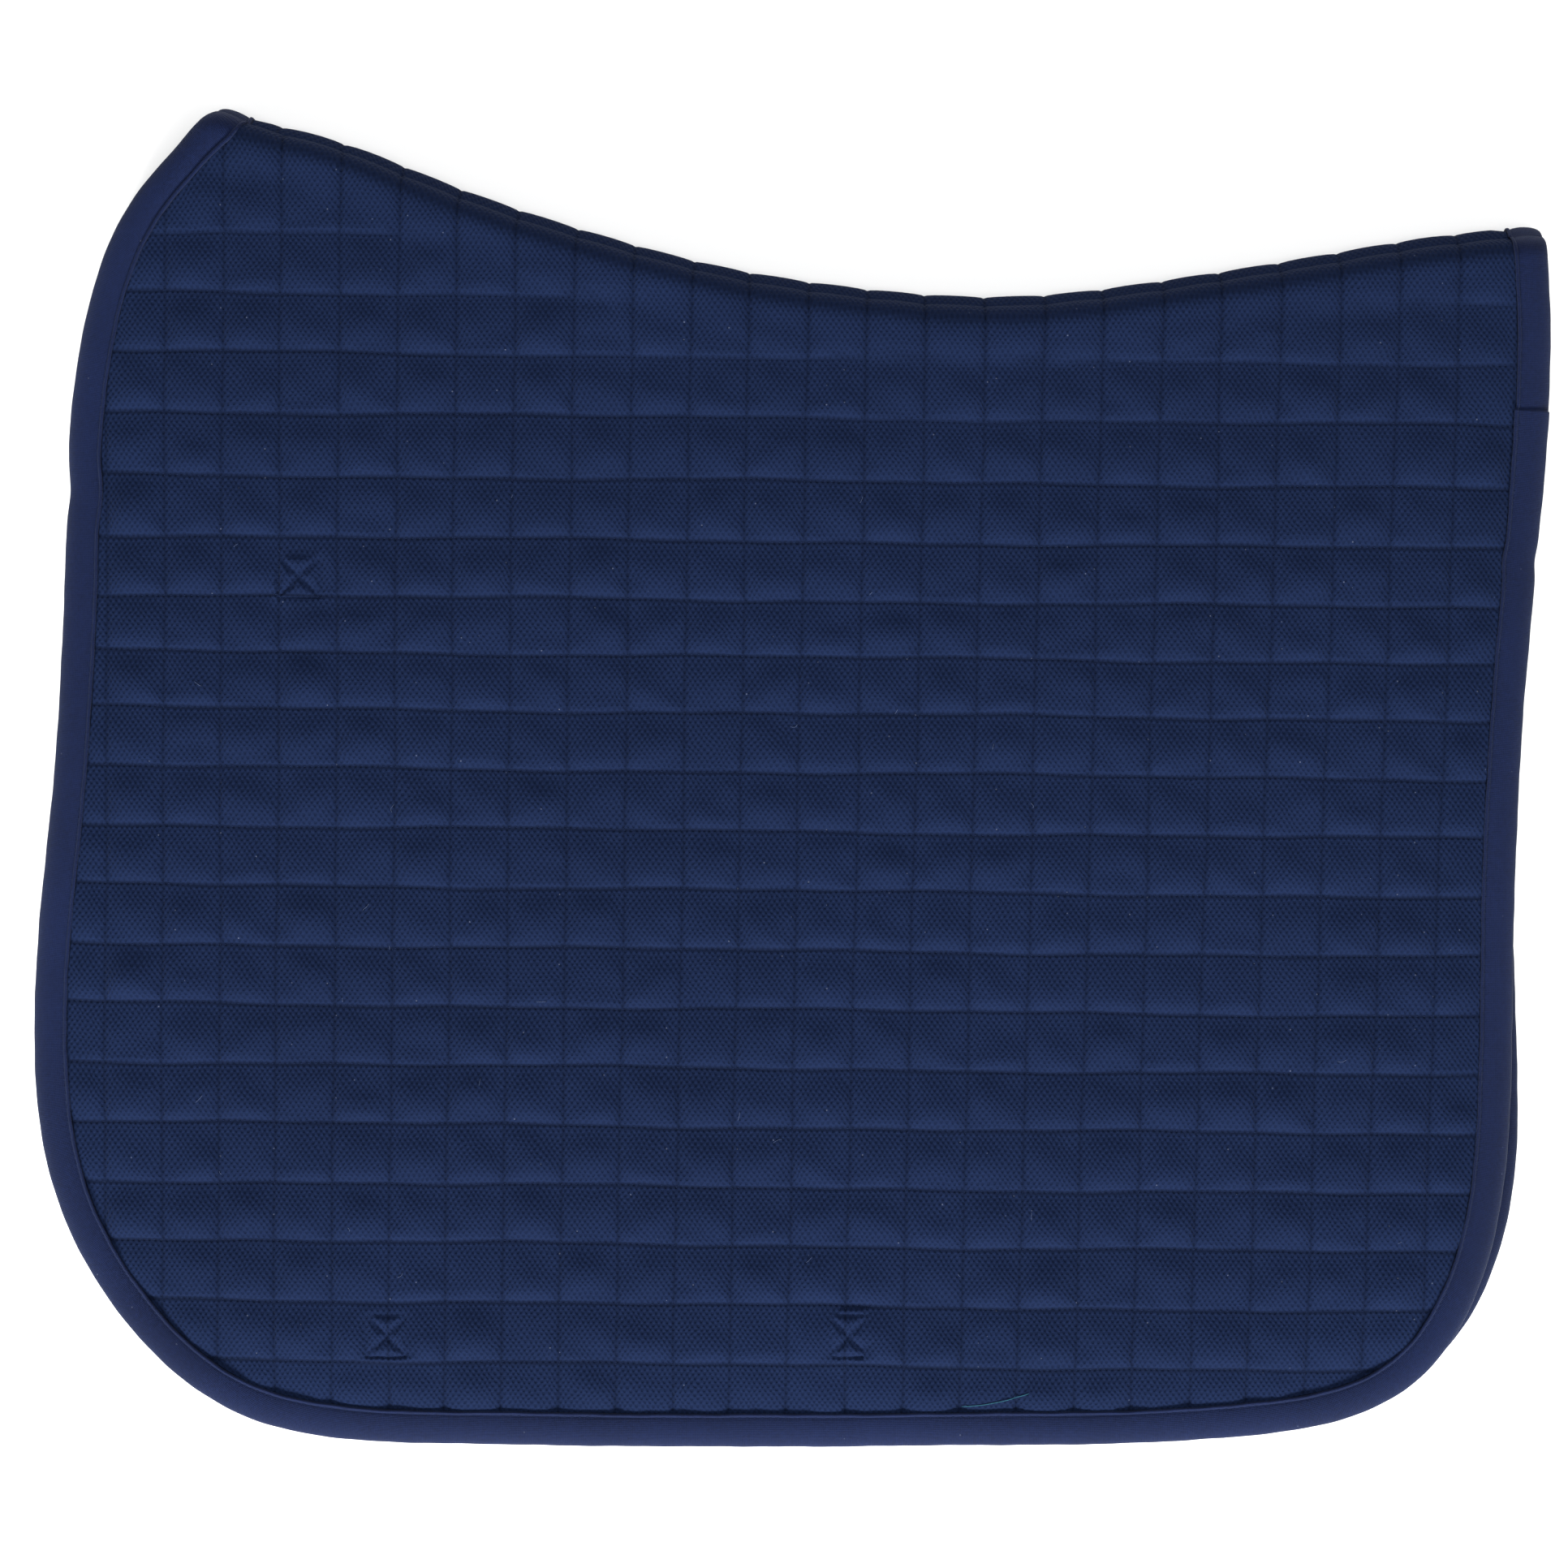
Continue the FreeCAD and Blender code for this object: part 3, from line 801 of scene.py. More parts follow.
def quiltStitches(half):
    pitch, keep = quiltUse["pitch"], []
    s0, s1 = quiltUse["columns"]
    t0, t1 = quiltUse["rows"]
    for t in range(t0 + 1, t1 + 1):
        s = np.arange(s0, s1, pitch / quiltUse["column"])
        keep.append((s, np.full(len(s), float(t))))
    for s in range(s0 + 1, s1 + 1):
        t = np.arange(t0, t1, pitch / quiltUse["row"])
        keep.append((np.full(len(t), float(s)), t))
    runs = []
    for s, t in keep:
        x, y = quiltPoint(s, t)
        a, b = np.gradient(x), np.gradient(y)
        size = np.hypot(a, b)
        rim, seam = fromRim(half, x, y), fromSeam(half, x, y)
        good = (rim > 15.6 * mm) & (seam > 1.5 * mm)
        for cx, cy in stitchBoxes(half["side"]):
            good &= np.maximum(np.abs(x - cx), np.abs(y - cy)) > clothUse["boxSide"] / 2 + 0.5 * mm
        x, y, a, b, rim = x[good], y[good], (a / size)[good], (b / size)[good], rim[good]
        for face in ("lining", "cover"):
            h = clothHeight(half, face, x, y, rim, np.zeros(len(x)))
            runs.append((x, y, a, b, h))
    return stitches("_quilt_stitches", half, runs, quiltUse["stitch"], ["_quilting_thread"])


def boxStitches(half):
    # a boxed cross on the lining and on the webbing at each sewn strap end
    size, pitch = clothUse["boxSide"] / 2 - 0.4 * mm, clothUse["boxPitch"]
    corners = [(-size, -size), (size, -size), (size, size), (-size, size)]
    lines = list(zip(corners, corners[1:] + corners[:1]))
    lines += [(corners[0], corners[2]), (corners[1], corners[3])]
    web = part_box(half["side"] + "_keeper_base")
    webFace = max(abs(web[0].z - half["level"]), abs(web[1].z - half["level"]))
    runs = []
    for cx, cy in stitchBoxes(half["side"]):
        for (ax, ay), (bx, by) in lines:
            long = math.hypot(bx - ax, by - ay)
            n = round(long / pitch)
            u = (np.arange(n) + 0.5) / n
            x, y = cx + ax + (bx - ax) * u, cy + ay + (by - ay) * u
            a, b = np.full(n, (bx - ax) / long), np.full(n, (by - ay) / long)
            h = clothHeight(half, "lining", x, y, fromRim(half, x, y), np.zeros(n))
            runs += [(x, y, a, b, h + 0.06 * mm), (x, y, a, b, np.full(n, -webFace))]
    return stitches("_box_stitches", half, runs, clothUse["boxStitch"],
                    ["_girth_stitching", "_keeper_stitching"])


for half in halves.values():
    edgeBinding(half)
    bindingStitches(half)
    quiltStitches(half)
    boxStitches(half)
print("binding and stitches made")

# straps, and the seam at the spine

strapUse = {
    "thick": 1.2 * mm, "rampOver": 24 * mm, "flatEnd": 20 * mm, "step": 1.2 * mm, "bow": 0.10,
    # the tape over the seam inside the fold, and its stitches
    "tapeReach": 6.5 * mm, "tape": 0.75 * mm, "seamPitch": 3.2 * mm, "seamStitch": (2.5 * mm, 0.5 * mm),
}


def ribbon(name, path, across, size, slotName, replaced):
    # a woven strip: path runs along its middle, across is the direction of its width
    width, thick = size
    path = np.asarray(path, float)
    along = np.gradient(path, axis=0)
    along /= np.linalg.norm(along, axis=1)[:, None]
    up = np.cross(along, across)
    up /= np.linalg.norm(up, axis=1)[:, None]
    edge = thick * 0.5
    profile = [(-width / 2, 0), (-width / 2 + 0.25 * edge, 0.7 * edge), (-width / 2 + edge, edge)]
    ribs = np.linspace(-width / 2 + 2 * edge, width / 2 - 2 * edge, 12)
    profile += [(w, edge * (1 - 0.05 * (k % 2))) for k, w in enumerate(ribs)]
    profile += [(-a, b) for a, b in reversed(profile[:3])]
    profile = profile + [(-a, -b) for a, b in profile[1:-1]]
    n, m = len(path), len(profile)
    at = np.r_[0, np.cumsum(np.linalg.norm(np.diff(path, axis=0), axis=1))]
    across = np.asarray(across, float)
    points = np.vstack([path + across * a + up * b for a, b in profile])
    uv = np.vstack([np.stack([at, np.full(n, a + (0 if b >= 0 else 0.05))], 1) for a, b in profile])
    faces = []
    for k in range(m):
        a, b = k * n, ((k + 1) % m) * n
        faces += [(a + i, b + i, b + i + 1, a + i + 1) for i in range(n - 1)]
    faces += [tuple(k * n for k in reversed(range(m))), tuple(k * n + n - 1 for k in range(m))]
    ob = newObject(name, points, faces, uv)
    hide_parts(*replaced)
    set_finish(ob, slotName)
    return ob


def girthWebbing(half):
    low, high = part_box(half["side"] + "_girth_strap")
    thick = strapUse["thick"]
    base, peak = low.z + thick / 2, high.z - thick / 2
    if half["out"] > 0:
        base, peak = peak, base
    x = np.r_[np.arange(low.x, high.x, strapUse["step"]), high.x]
    ends = strapUse["flatEnd"]
    ramp = strapUse["rampOver"]
    lift = smooth((x - low.x - ends) / ramp) * smooth((high.x - ends - x) / ramp)
    middle = (x - low.x) / (high.x - low.x)
    z = base + (peak - base) * lift * (1 - strapUse["bow"] * (0.5 + 0.5 * np.cos(middle * 4 * math.pi)))
    y = (low.y + high.y) / 2 + 0.0 * x
    ob = ribbon(half["side"] + "_girth_webbing", np.stack([x, y, z], 1), (0, 1, 0),
                (high.y - low.y, thick), "webbing", [half["side"] + "_girth_strap"])
    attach(ob, half["side"] + "_half")


def straightStrip(node, name, body):
    low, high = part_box(node)
    y = np.linspace(low.y, high.y, max(8, round((high.y - low.y) / strapUse["step"])))
    u = (y - y[0]) / (y[-1] - y[0])
    z = (low.z + high.z) / 2 + 0 * u
    x = (low.x + high.x) / 2 + 0.25 * mm * np.sin(u * 7)
    size = (high.x - low.x - 0.4 * mm, high.z - low.z)
    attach(ribbon(name, np.stack([x, y, z], 1), (1, 0, 0), size, "webbing", [node]), body)


tuftUse = {"hook": {"lean": 0.25 * mm, "radius": 0.22 * mm, "head": 1.15, "height": 0.97},
           "loop": {"lean": 0.5 * mm, "radius": 0.38 * mm, "head": 1.35, "height": 0.97}}


def pileTape(side, kind, outward):
    # a fastener tape: its backing, with a bed of small tufts standing on it
    node, tuft = side + "_keeper_" + kind + "_tape", tuftUse[kind]
    low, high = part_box(node)
    backing = 0.45 * (high.z - low.z)
    pitch = 1.25 * mm
    nx, ny = round((high.x - low.x - 2 * mm) / pitch), round((high.y - low.y - 2 * mm) / pitch)
    foot = low.z if outward > 0 else high.z
    cx, cy = (low.x + high.x) / 2, (low.y + high.y) / 2
    points, faces = [], []
    wide, long = high.x - low.x, high.y - low.y
    ring = [(-wide / 2, -long / 2), (wide / 2, -long / 2), (wide / 2, long / 2), (-wide / 2, long / 2)]
    for level in (foot, foot + outward * backing):
        points += [(cx + a, cy + b, level) for a, b in ring]
    box = [(3, 2, 1, 0), (4, 5, 6, 7), (0, 1, 5, 4), (1, 2, 6, 5), (2, 3, 7, 6), (3, 0, 4, 7)]
    faces += box if outward > 0 else [tuple(reversed(f)) for f in box]
    for j in range(ny):
        for i in range(nx):
            x = cx + (i - (nx - 1) / 2) * pitch + rng.uniform(-1, 1) * 0.2 * mm
            y = cy + (j - (ny - 1) / 2) * pitch + rng.uniform(-1, 1) * 0.2 * mm
            lean = rng.uniform(-1, 1, 2) * tuft["lean"]
            k, r = len(points), tuft["radius"]
            z0, z1 = foot + outward * backing * 0.8, foot + outward * (high.z - low.z) * tuft["height"]
            for a in range(5):
                angle = a * math.tau / 5
                points.append((x + r * math.cos(angle), y + r * math.sin(angle), z0))
            for a in range(5):
                angle = a * math.tau / 5 + 0.3
                points.append((x + lean[0] + r * tuft["head"] * math.cos(angle),
                               y + lean[1] + r * tuft["head"] * math.sin(angle), mix(z0, z1, 0.7)))
            points.append((x + lean[0], y + lean[1], z1))
            sides = []
            for a in range(5):
                b = (a + 1) % 5
                sides += [(k + a, k + b, k + 5 + b, k + 5 + a), (k + 5 + a, k + 5 + b, k + 10)]
            sides.append(tuple(k + a for a in reversed(range(5))))
            faces += sides if outward > 0 else [tuple(reversed(f)) for f in sides]
    ob = newObject(side + "_keeper_" + kind + "s", points, faces, [(p[0], p[1]) for p in points])
    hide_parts(node)
    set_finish(ob, kind + "_tape")
    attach(ob, side + "_keeper")


for side, half in halves.items():
    girthWebbing(half)
    straightStrip(side + "_keeper_base", side + "_keeper_tab", side + "_half")
    straightStrip(side + "_keeper_strap", side + "_keeper_webbing", side + "_keeper")
    pileTape(side, "hook", -half["out"])
    pileTape(side, "loop", -half["out"])


def seamLine(step):
    edge = halves["right"]["edge"]
    return np.arange(edge[0, 0] + 9 * mm, edge[-1, 0] - 4 * mm, step)


def pinchAt(s):
    # share of the thickness left at this distance from the seam
    return mix(foldUse["pinch"], 1, smooth(s / foldUse["pinchOver"]))


def underCover(s, more):
    # a height inside the fold, below the cover
    return -(clothUse["cover"][1] * pinchAt(s) + more)


def seamPlace(x, signed, h):
    # signed is the distance from the seam, right half positive; h is a true height out from the
    # cloth's middle
    out = np.empty((len(x), 3))
    for half in halves.values():
        mine = signed * half["out"] >= 0
        s = np.abs(signed[mine])
        y = spineAt(half, x[mine]) - half["back"] + half["arc"] - s
        out[mine] = place(half, x[mine], y, h(s) / pinchAt(s), np.full(mine.sum(), 1.0))
    return out


def spineTape():
    # a strip sewn over the seam inside the fold
    x = seamLine(2.5 * mm)
    reachOut = strapUse["tapeReach"]
    across = np.linspace(-reachOut, reachOut, 17)
    n, m = len(x), len(across)

    def near(s):
        return underCover(s, 0.05 * mm)

    def far(s):
        thin = 1 - 0.6 * smooth((s - reachOut + 1.2 * mm) / (1.2 * mm))
        return near(s) - strapUse["tape"] * thin

    gridX, gridS = np.repeat(x, m), np.tile(across, n)
    points = np.vstack([seamPlace(gridX, gridS, near), seamPlace(gridX, gridS, far)])
    idx = np.arange(n * m).reshape(n, m)
    faces = []
    top, low = idx, idx + n * m
    for i in range(n - 1):
        for j in range(m - 1):
            faces.append((top[i, j], top[i, j + 1], top[i + 1, j + 1], top[i + 1, j]))
            faces.append((low[i, j], low[i + 1, j], low[i + 1, j + 1], low[i, j + 1]))
        faces.append((top[i, 0], top[i + 1, 0], low[i + 1, 0], low[i, 0]))
        faces.append((top[i + 1, -1], top[i, -1], low[i, -1], low[i + 1, -1]))
    for j in range(m - 1):
        faces.append((top[0, j + 1], top[0, j], low[0, j], low[0, j + 1]))
        faces.append((top[-1, j], top[-1, j + 1], low[-1, j + 1], low[-1, j]))
    ob = newObject("spine_seam_tape", points, faces, np.tile(np.stack([gridX, gridS], 1), (2, 1)))
    bendWithFold(ob, np.tile(gridS, 2))
    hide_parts("spine_tape")
    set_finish(ob, "binding_tape")


def seamStitches():
    # two rows on the tape inside the fold, and one on the lining each side of the seam
    x = seamLine(strapUse["seamPitch"])

    def onTape(s):
        return underCover(s, strapUse["tape"] * 0.95)

    def onLining(s):
        return 1.05 * mm + 0 * s

    points, faces, signs = [], [], []
    for signed, height, way in [(4.6 * mm, onTape, -1), (-4.6 * mm, onTape, -1),
                                (1.5 * mm, onLining, 1), (-1.5 * mm, onLining, 1)]:
        base = len(points) * 6 * len(x)
        got, across = np.empty((len(x) * 6, 3)), np.empty(len(x) * 6)
        for k, (a, b, c) in enumerate(stitchShape(strapUse["seamStitch"], 0.3)):
            across[k::6] = signed + b
            got[k::6] = seamPlace(x + a, across[k::6], lambda s: height(s) + way * c)
        points.append(got)
        signs.append(across)
        faces += [tuple(base + 6 * i + v for v in f) for i in range(len(x)) for f in stitchFaces]
    ob = newObject("spine_seam_stitches", np.vstack(points), faces)
    bendWithFold(ob, np.concatenate(signs))
    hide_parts("spine_seam_thread")
    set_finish(ob, "thread")


def strayFibres(name, runs, radius):
    # loose bits of thread lying on the lining: (x, y, length, heading, curl) along the upper half
    panel = panels["right"].data
    tree = BVHTree.FromPolygons([v.co for v in panel.vertices], [f.vertices for f in panel.polygons])
    points, faces, sides = [], [], 5
    for x, y, length, heading, curl in runs:
        n = max(8, round(length / (1.2 * mm)))
        line = []
        for k in range(n + 1):
            hit = tree.ray_cast(Vector((x, y, 0.1)), Vector((0, 0, -1)))[0]
            line.append((x, y, hit.z + radius * (1.1 + 2 * math.sin(k * 1.7) ** 2) if hit else line[-1][2]))
            heading += curl * (0.6 + 0.8 * math.sin(k * 0.9 + curl * 40))
            x += math.cos(heading) * length / n
            y += math.sin(heading) * length / n
        line = np.array(line)
        line[1:-1, 2] = (line[:-2, 2] + line[1:-1, 2] + line[2:, 2]) / 3 + radius * 0.3
        base = len(points)
        along = np.gradient(line, axis=0)
        for k, (p, d) in enumerate(zip(line, along)):
            side = np.array([-d[1], d[0], 0]) / max(np.hypot(d[0], d[1]), 1e-9)
            r = radius * (0.35 if k in (0, n) else 1)
            points += [p + r * (side * math.cos(a) + np.array([0, 0, 1]) * math.sin(a))
                       for a in np.arange(sides) * math.tau / sides]
        faces += [(base + k * sides + j, base + k * sides + (j + 1) % sides,
                   base + (k + 1) * sides + (j + 1) % sides, base + (k + 1) * sides + j)
                  for k in range(n) for j in range(sides)]
        faces += [tuple(base + j for j in reversed(range(sides))),
                  tuple(base + n * sides + j for j in range(sides))]
    ob = newObject(name, points, [tuple(reversed(f)) for f in faces], [(p[0], p[1]) for p in points])
    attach(ob, "right_half")
    return ob


looseUse = {"threadAt": 0.612, "threadLength": 30 * mm, "thread": 0.17 * mm, "lint": 0.06 * mm, "bits": 26}


def looseBits():
    low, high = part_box("right_lining")
    long, deep = high.x - low.x, high.y - low.y
    run = (low.x + looseUse["threadAt"] * long, low.y + 17.5 * mm, looseUse["threadLength"], 0.03, 0.02)
    thread = strayFibres("stray_thread", [run], looseUse["thread"])
    runs = []
    for _ in range(looseUse["bits"]):
        x, y = rng.uniform(0.08, 0.92) * long + low.x, rng.uniform(0.08, 0.72) * deep + low.y
        runs.append((x, y, rng.uniform(1.5, 5.0) * mm, rng.uniform(0, math.tau), rng.uniform(-0.35, 0.35)))
    lint = strayFibres("lint_fibres", runs, looseUse["lint"])
    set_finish(thread, "thread")
    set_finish(lint, "thread")
    return {thread.name: "stray", lint.name: "lint"}


spineTape()
seamStitches()
ownFinish = looseBits()
print("straps and spine seam made")

# colours and finishes

def group(name, inputs, outputs):
    tree = bpy.data.node_groups.new(name, "ShaderNodeTree")
    for label, kind, value in inputs:
        socket = tree.interface.new_socket(label, in_out="INPUT", socket_type=kind)
        if value is not None:
            socket.default_value = value
    for label, kind in outputs:
        tree.interface.new_socket(label, in_out="OUTPUT", socket_type=kind)
    return tree, tree.nodes.new("NodeGroupInput"), tree.nodes.new("NodeGroupOutput")


def add(tree, kind, links=None, **values):
    # a node with its inputs linked or set by name or number; other values are the node's own settings
    node = tree.nodes.new(kind)
    for key, value in values.items():
        setattr(node, key, value)
    for key, value in (links or {}).items():
        if isinstance(value, bpy.types.NodeSocket):
            tree.links.new(value, node.inputs[key])
        else:
            node.inputs[key].default_value = value
    return node


def math1(tree, operation, a, b=0.0, c=0.0):
    return add(tree, "ShaderNodeMath", {0: a, 1: b, 2: c}, operation=operation).outputs[0]


def waveAlong(tree, operation, along, full, period):
    # full is the angle that each period turns through
    return math1(tree, operation, math1(tree, "MULTIPLY", along, math1(tree, "DIVIDE", full, period)))


def roughened(tree, flat, height, scale):
    # single fibres on top of a weave
    fine = add(tree, "ShaderNodeTexNoise", {"Vector": flat, "Scale": scale, "Detail": 2.0})
    return math1(tree, "MULTIPLY_ADD", fine.outputs[0], 0.3, height)


def makePique():
    # a knit with small hollows in offset rows; the hollow mask shapes the bump and is also given out for
    # painted shade in the hollows
    tree, start, end = group("piqueKnit", [("Cloth", "NodeSocketVector", None),
                                           ("Across", "NodeSocketFloat", 0.0024),
                                           ("Down", "NodeSocketFloat", 0.0035)],
                             [("Height", "NodeSocketFloat"), ("HollowShade", "NodeSocketFloat")])
    flat = start.outputs["Cloth"]
    warp = add(tree, "ShaderNodeTexNoise", {"Vector": flat, "Scale": 120.0, "Detail": 2.0})
    shift = add(tree, "ShaderNodeVectorMath", {0: warp.outputs["Color"], 1: (0.5, 0.5, 0.5)},
                operation="SUBTRACT")
    small = add(tree, "ShaderNodeVectorMath", {0: shift.outputs[0], "Scale": 0.0022}, operation="SCALE")
    moved = add(tree, "ShaderNodeVectorMath", {0: flat, 1: small.outputs[0]}, operation="ADD")
    part = add(tree, "ShaderNodeSeparateXYZ", {0: moved.outputs[0]})
    a = waveAlong(tree, "COSINE", part.outputs[0], math.tau, start.outputs["Across"])
    b = waveAlong(tree, "COSINE", part.outputs[1], math.tau, start.outputs["Down"])
    dots = math1(tree, "MULTIPLY", a, b)
    hollowShade = add(tree, "ShaderNodeMapRange", {"Value": dots, "From Min": -0.1, "From Max": 0.9},
                 interpolation_type="SMOOTHSTEP").outputs[0]
    ridge = add(tree, "ShaderNodeMapRange", {"Value": dots, "From Min": 0.1, "From Max": -0.9}).outputs[0]
    height = math1(tree, "MULTIPLY_ADD", ridge, 0.35, math1(tree, "SUBTRACT", 1.0, hollowShade))
    tree.links.new(roughened(tree, flat, height, 2600.0), end.inputs["Height"])
    tree.links.new(hollowShade, end.inputs["HollowShade"])
    return tree


def makeWeave():
    # a plain weave of threads over and under each other; the gaps between the threads are given out for
    # painted shade in the colour
    tree, start, end = group("plainWeave", [("Cloth", "NodeSocketVector", None),
                                            ("Across", "NodeSocketFloat", 0.0006),
                                            ("Along", "NodeSocketFloat", 0.0006)],
                             [("Height", "NodeSocketFloat"), ("HollowShade", "NodeSocketFloat")])
    flat = start.outputs["Cloth"]
    part = add(tree, "ShaderNodeSeparateXYZ", {0: flat})
    a = waveAlong(tree, "SINE", part.outputs[0], math.pi, start.outputs["Along"])
    b = waveAlong(tree, "SINE", part.outputs[1], math.pi, start.outputs["Across"])
    over = math1(tree, "ABSOLUTE", math1(tree, "MULTIPLY", a, b))
    ridges = math1(tree, "MULTIPLY", math1(tree, "ABSOLUTE", a), math1(tree, "ABSOLUTE", b))
    height = math1(tree, "MULTIPLY_ADD", over, 0.6, math1(tree, "MULTIPLY", ridges, 0.4))
    tree.links.new(roughened(tree, flat, height, 3000.0), end.inputs["Height"])
    tree.links.new(math1(tree, "SUBTRACT", 1.0, height), end.inputs["HollowShade"])
    return tree


def makePile():
    # dense short pile, or the fibres of a single thread
    tree, start, end = group("pile", [("Position", "NodeSocketVector", None),
                                      ("Scale", "NodeSocketFloat", 900.0)],
                             [("Height", "NodeSocketFloat")])
    fibres = add(tree, "ShaderNodeTexNoise", {"Vector": start.outputs["Position"],
                                              "Scale": start.outputs["Scale"], "Detail": 3.0})
    tree.links.new(fibres.outputs[0], end.inputs["Height"])
    return tree


def makeTone():
    # uneven dye, larger and smaller, and stray fibres
    tree, start, end = group("clothTone", [("Color", "NodeSocketColor", (0.02, 0.02, 0.05, 1)),
                                           ("Position", "NodeSocketVector", None),
                                           ("Mottle", "NodeSocketFloat", 0.2),
                                           ("Fuzz", "NodeSocketFloat", 0.1)],
                             [("Color", "NodeSocketColor")])
    where = start.outputs["Position"]
    wide, near = (add(tree, "ShaderNodeTexNoise",
                      {"Vector": where, "Scale": scale, "Detail": detail, "Roughness": rough}).outputs[0]
                  for scale, detail, rough in ((14.0, 4.0, 0.6), (800.0, 2.0, 0.7)))
    both = math1(tree, "MULTIPLY_ADD", wide, 0.4, math1(tree, "MULTIPLY", near, 0.6))
    level = math1(tree, "MULTIPLY_ADD", math1(tree, "SUBTRACT", both, 0.5),
                  math1(tree, "MULTIPLY", start.outputs["Mottle"], 4.0), 1.0)
    shade = add(tree, "ShaderNodeVectorMath", {0: start.outputs["Color"], "Scale": level},
                operation="SCALE")
    bits = add(tree, "ShaderNodeTexVoronoi", {"Vector": where, "Scale": 260.0}, feature="F1")
    speck = math1(tree, "LESS_THAN", bits.outputs["Distance"], 0.09)
    cut = add(tree, "ShaderNodeSeparateColor", {0: bits.outputs["Color"]})
    rare = math1(tree, "GREATER_THAN", cut.outputs[0], 0.93)
    lint = math1(tree, "MULTIPLY", math1(tree, "MULTIPLY", speck, rare), start.outputs["Fuzz"])
    blend = add(tree, "ShaderNodeMix", data_type="RGBA")
    tree.links.new(lint, blend.inputs[0])
    tree.links.new(shade.outputs[0], blend.inputs[6])
    blend.inputs[7].default_value = (0.22, 0.25, 0.33, 1)
    tree.links.new(blend.outputs[2], end.inputs["Color"])
    return tree


surfaces = {"pique": makePique(), "weave": makeWeave(), "pile": makePile()}
tone = makeTone()


def cloth(name, colour, surface, bump, mottle, rough, sheen, hollowShade=0.0, fuzz=0.15, creaseShade=0.0, shine=0.07):
    # surface is a kind of weave and its sizes, and bump is its depth
    mat = bpy.data.materials.new(name)
    mat.use_nodes = True
    tree = mat.node_tree
    shader = tree.nodes["Principled BSDF"]
    where = add(tree, "ShaderNodeTexCoord").outputs["Object"]
    toned = add(tree, "ShaderNodeGroup", {"Color": (*colour, 1), "Position": where, "Mottle": mottle,
                                          "Fuzz": fuzz}, node_tree=tone)
    kind, sizes = surface
    if kind == "pile":
        links = {"Position": where, **sizes}
    else:
        links = {"Cloth": add(tree, "ShaderNodeUVMap", uv_map="cloth").outputs[0], **sizes}
    woven = add(tree, "ShaderNodeGroup", links, node_tree=surfaces[kind])
    # painted shade: the colour is darkened in the weave's hollows and along the quilting's creases
    base, masks = toned.outputs["Color"], []
    if hollowShade:
        masks.append((woven.outputs["HollowShade"], hollowShade))
    if creaseShade:
        masks.append((add(tree, "ShaderNodeAttribute", attribute_name="creaseShade").outputs["Fac"], creaseShade))
    for mask, amount in masks:
        shade = math1(tree, "MULTIPLY_ADD", mask, -amount, 1.0)
        base = add(tree, "ShaderNodeVectorMath", {0: base, "Scale": shade}, operation="SCALE").outputs[0]
    relief = add(tree, "ShaderNodeBump", {"Height": woven.outputs["Height"], "Distance": bump})
    tree.links.new(relief.outputs[0], shader.inputs["Normal"])
    tree.links.new(base, shader.inputs["Base Color"])
    for key, value in {"Roughness": rough, "Specular IOR Level": shine, "Sheen Weight": sheen,
                       "Sheen Roughness": 0.45, "Sheen Tint": (0.55, 0.66, 1.0, 1)}.items():
        shader.inputs[key].default_value = value
    return mat


sewing = ("pile", {"Scale": 2200.0})
# the hollow and crease amounts are painted shade: they darken the colour in the weave's hollows and along
# the quilting's creases
finishUse = {
    "lining": {"name": "quiltedLining", "colour": (0.0048, 0.0093, 0.0285),
               "surface": ("pique", {"Across": 2.43 * mm, "Down": 3.5 * mm}), "bump": 0.26 * mm,
               "mottle": 0.17, "rough": 0.85, "sheen": 0.03, "hollowShade": 0.22, "creaseShade": 0.55, "shine": 0.02},
    "cover": {"name": "innerCover", "colour": (0.0034, 0.0080, 0.0280),
              "surface": ("weave", {"Across": 0.5 * mm, "Along": 0.5 * mm}), "bump": 0.10 * mm,
              "mottle": 0.12, "rough": 0.88, "sheen": 0.10, "hollowShade": 0.2, "creaseShade": 0.3},
    "tape": {"name": "bindingTape", "colour": (0.0036, 0.0079, 0.0328),
             "surface": ("weave", {"Across": 0.62 * mm, "Along": 0.55 * mm}), "bump": 0.16 * mm,
             "mottle": 0.42, "rough": 0.72, "sheen": 0.05, "hollowShade": 0.25},
    "thread": {"name": "sewingThread", "colour": (0.0038, 0.0080, 0.0260), "surface": sewing,
               "bump": 0.05 * mm, "mottle": 0.10, "rough": 0.75, "sheen": 0.05, "fuzz": 0.0, "shine": 0.04},
    "webbing": {"name": "strapWebbing", "colour": (0.0038, 0.0072, 0.0230),
                "surface": ("weave", {"Across": 1.1 * mm, "Along": 1.4 * mm}), "bump": 0.22 * mm,
                "mottle": 0.10, "rough": 0.75, "sheen": 0.10, "hollowShade": 0.4},
    "stray": {"name": "strayThread", "colour": (0.012, 0.060, 0.085), "surface": sewing,
              "bump": 0.05 * mm, "mottle": 0.10, "rough": 0.70, "sheen": 0.10, "fuzz": 0.0},
    "lint": {"name": "lintFibre", "colour": (0.060, 0.080, 0.140), "surface": sewing,
             "bump": 0.05 * mm, "mottle": 0.10, "rough": 0.80, "sheen": 0.10, "fuzz": 0.0},
    "hook": {"name": "hookTape", "colour": (0.0035, 0.0058, 0.0150), "surface": ("pile", {"Scale": 900.0}),
             "bump": 0.10 * mm, "mottle": 0.10, "rough": 0.55, "sheen": 0.05},
    "loop": {"name": "loopTape", "colour": (0.0048, 0.0088, 0.0250), "surface": ("pile", {"Scale": 1500.0}),
             "bump": 0.15 * mm, "mottle": 0.15, "rough": 0.9, "sheen": 0.3},
}
finishes = {key: cloth(**use) for key, use in finishUse.items()}
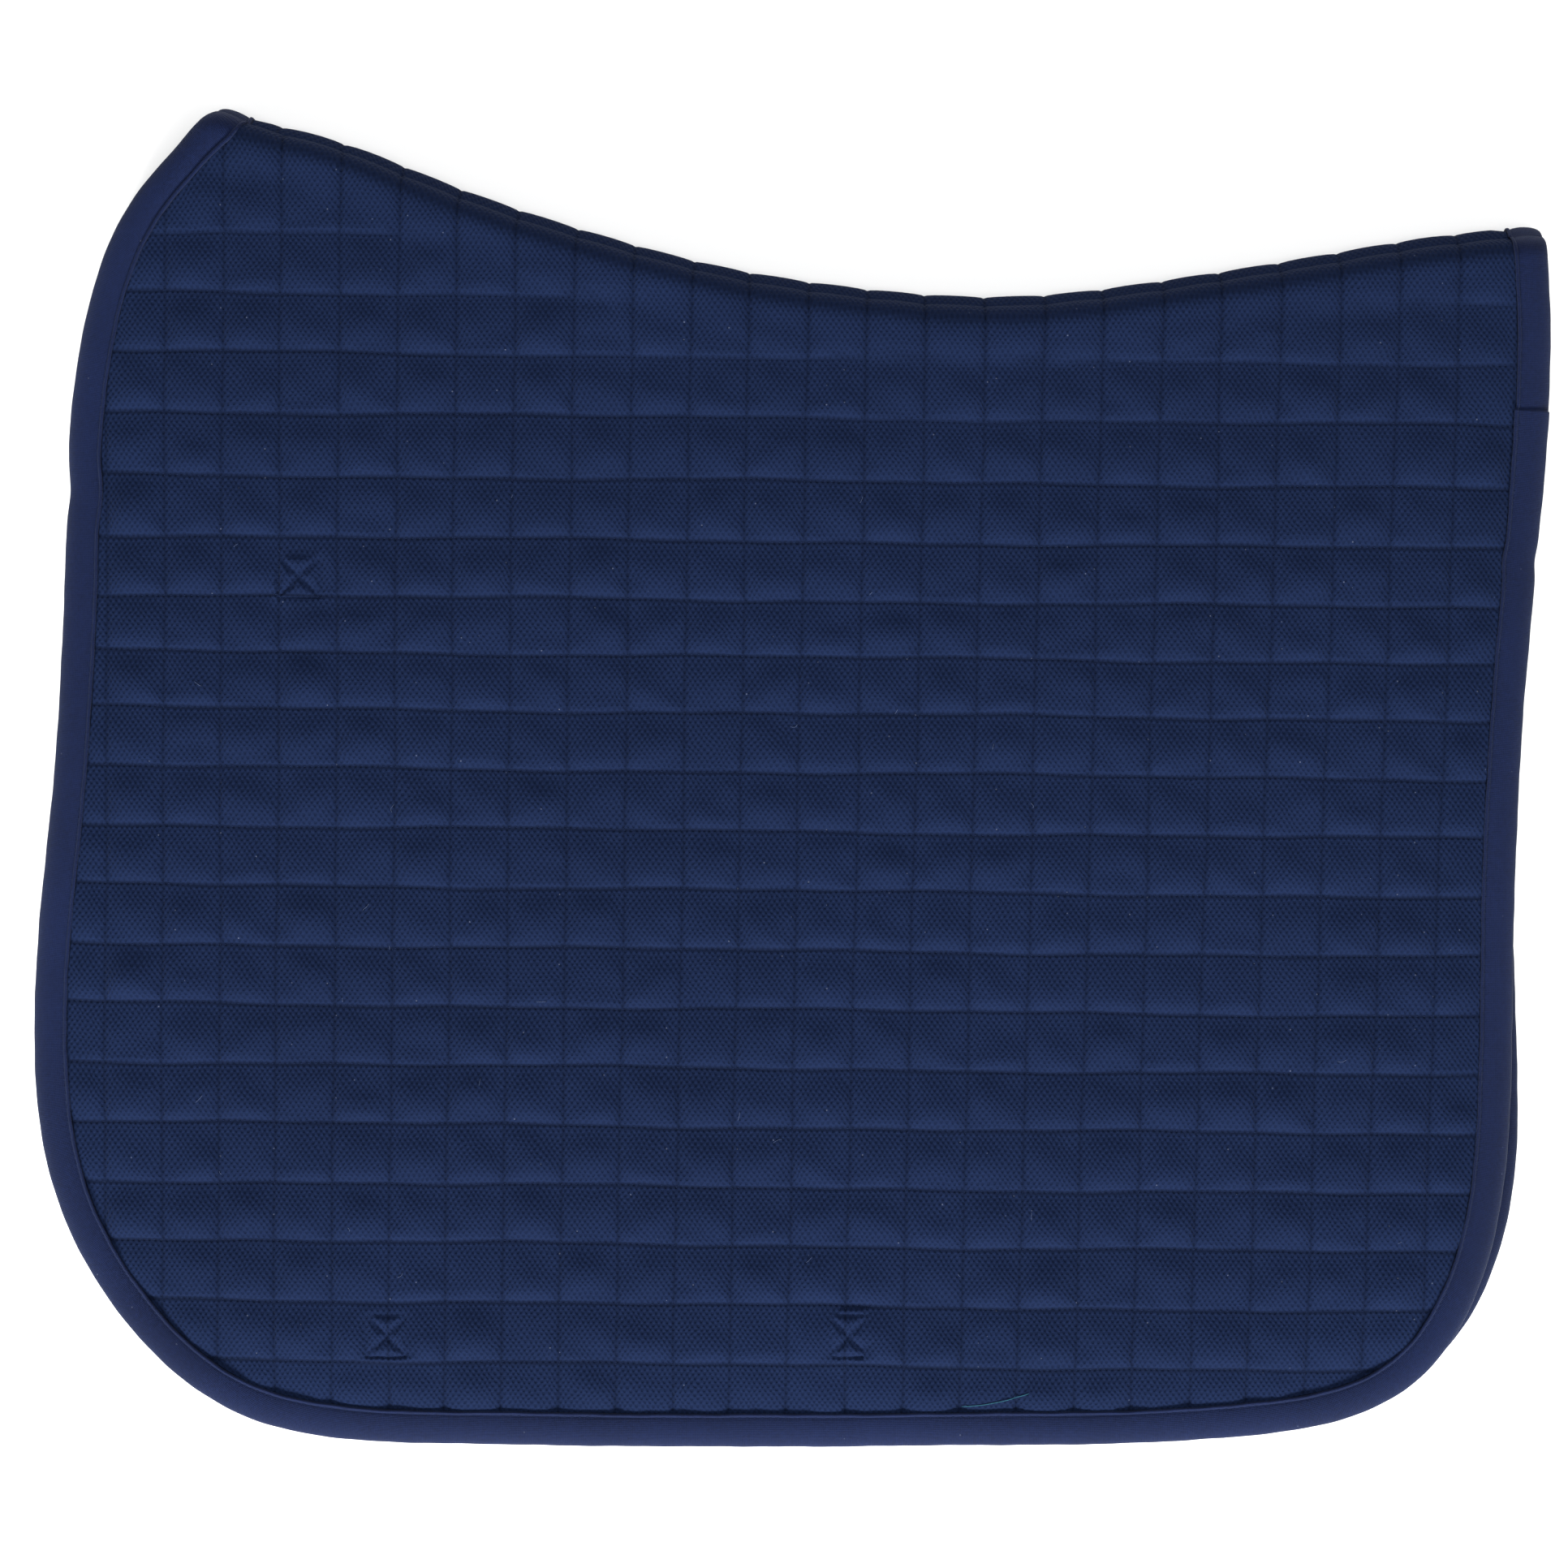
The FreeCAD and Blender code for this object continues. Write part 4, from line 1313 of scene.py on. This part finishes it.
finishOf = {"lining_cotton": "lining", "binding_tape": "tape", "thread": "thread", "webbing": "webbing",
            "hook_tape": "hook", "loop_tape": "loop"}
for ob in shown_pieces():
    if ob.get("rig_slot") in finishOf:
        ob.data.materials.clear()
        ob.data.materials.append(finishes[ownFinish.get(ob.name, finishOf[ob["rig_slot"]])])
for ob in panels.values():
    ob.data.materials.append(finishes["cover"])
    index = np.zeros(len(ob.data.polygons), np.int32)
    index[ob["innerFrom"]:] = 1
    ob.data.polygons.foreach_set("material_index", index)
nodeFinish = [("lining", "lining"), ("cover", "cover"), ("wadding", "cover"), ("binding_thread", "thread"),
              ("binding", "tape"), ("thread", "thread"), ("stitching", "thread"), ("hook", "hook"),
              ("loop", "loop"), ("tape", "tape")]
for name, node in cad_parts.items():
    pick = next((f for word, f in nodeFinish if word in name), "webbing")
    node.data.materials.clear()
    node.data.materials.append(finishes[pick])
print("finishes made")

# floor and light

lightUse = {
    "key": {"at": (-0.3, -3.4, 1.75), "size": (2.6, 1.1), "power": 540.0},
    "top": {"at": (0.1, 0.6, 3.4), "size": (3.0, 3.0), "power": 118.0},
    "world": 0.42, "floor": 30.0,
}


def makeStage():
    size, low = lightUse["floor"], cadBox[0][2] - 0.4 * mm
    corners = [(-size, -size, low), (size, -size, low), (size, size, low), (-size, size, low)]
    floor = newObject("floor", corners, [(0, 1, 2, 3)])
    mat = bpy.data.materials.new("paleFloor")
    mat.use_nodes = True
    shader = mat.node_tree.nodes["Principled BSDF"]
    shader.inputs["Base Color"].default_value = (0.88, 0.88, 0.88, 1)
    shader.inputs["Roughness"].default_value = 0.7
    shader.inputs["Specular IOR Level"].default_value = 0.2
    floor.data.materials.append(mat)
    for name in ("key", "top"):
        use = lightUse[name]
        data = bpy.data.lights.new(name, "AREA")
        data.shape, (data.size, data.size_y) = "RECTANGLE", use["size"]
        data.energy = use["power"]
        ob = bpy.data.objects.new(name + "Light", data)
        ob.location = use["at"]
        ob.rotation_euler = (-Vector(use["at"])).to_track_quat("-Z", "Y").to_euler()
        bpy.context.scene.collection.objects.link(ob)
    world = bpy.data.worlds.new("world")
    bpy.context.scene.world = world
    world.use_nodes = True
    back = world.node_tree.nodes["Background"]
    back.inputs[0].default_value = (1, 1, 1, 1)
    back.inputs[1].default_value = lightUse["world"]
    bpy.context.scene.view_settings.view_transform = "Standard"


makeStage()
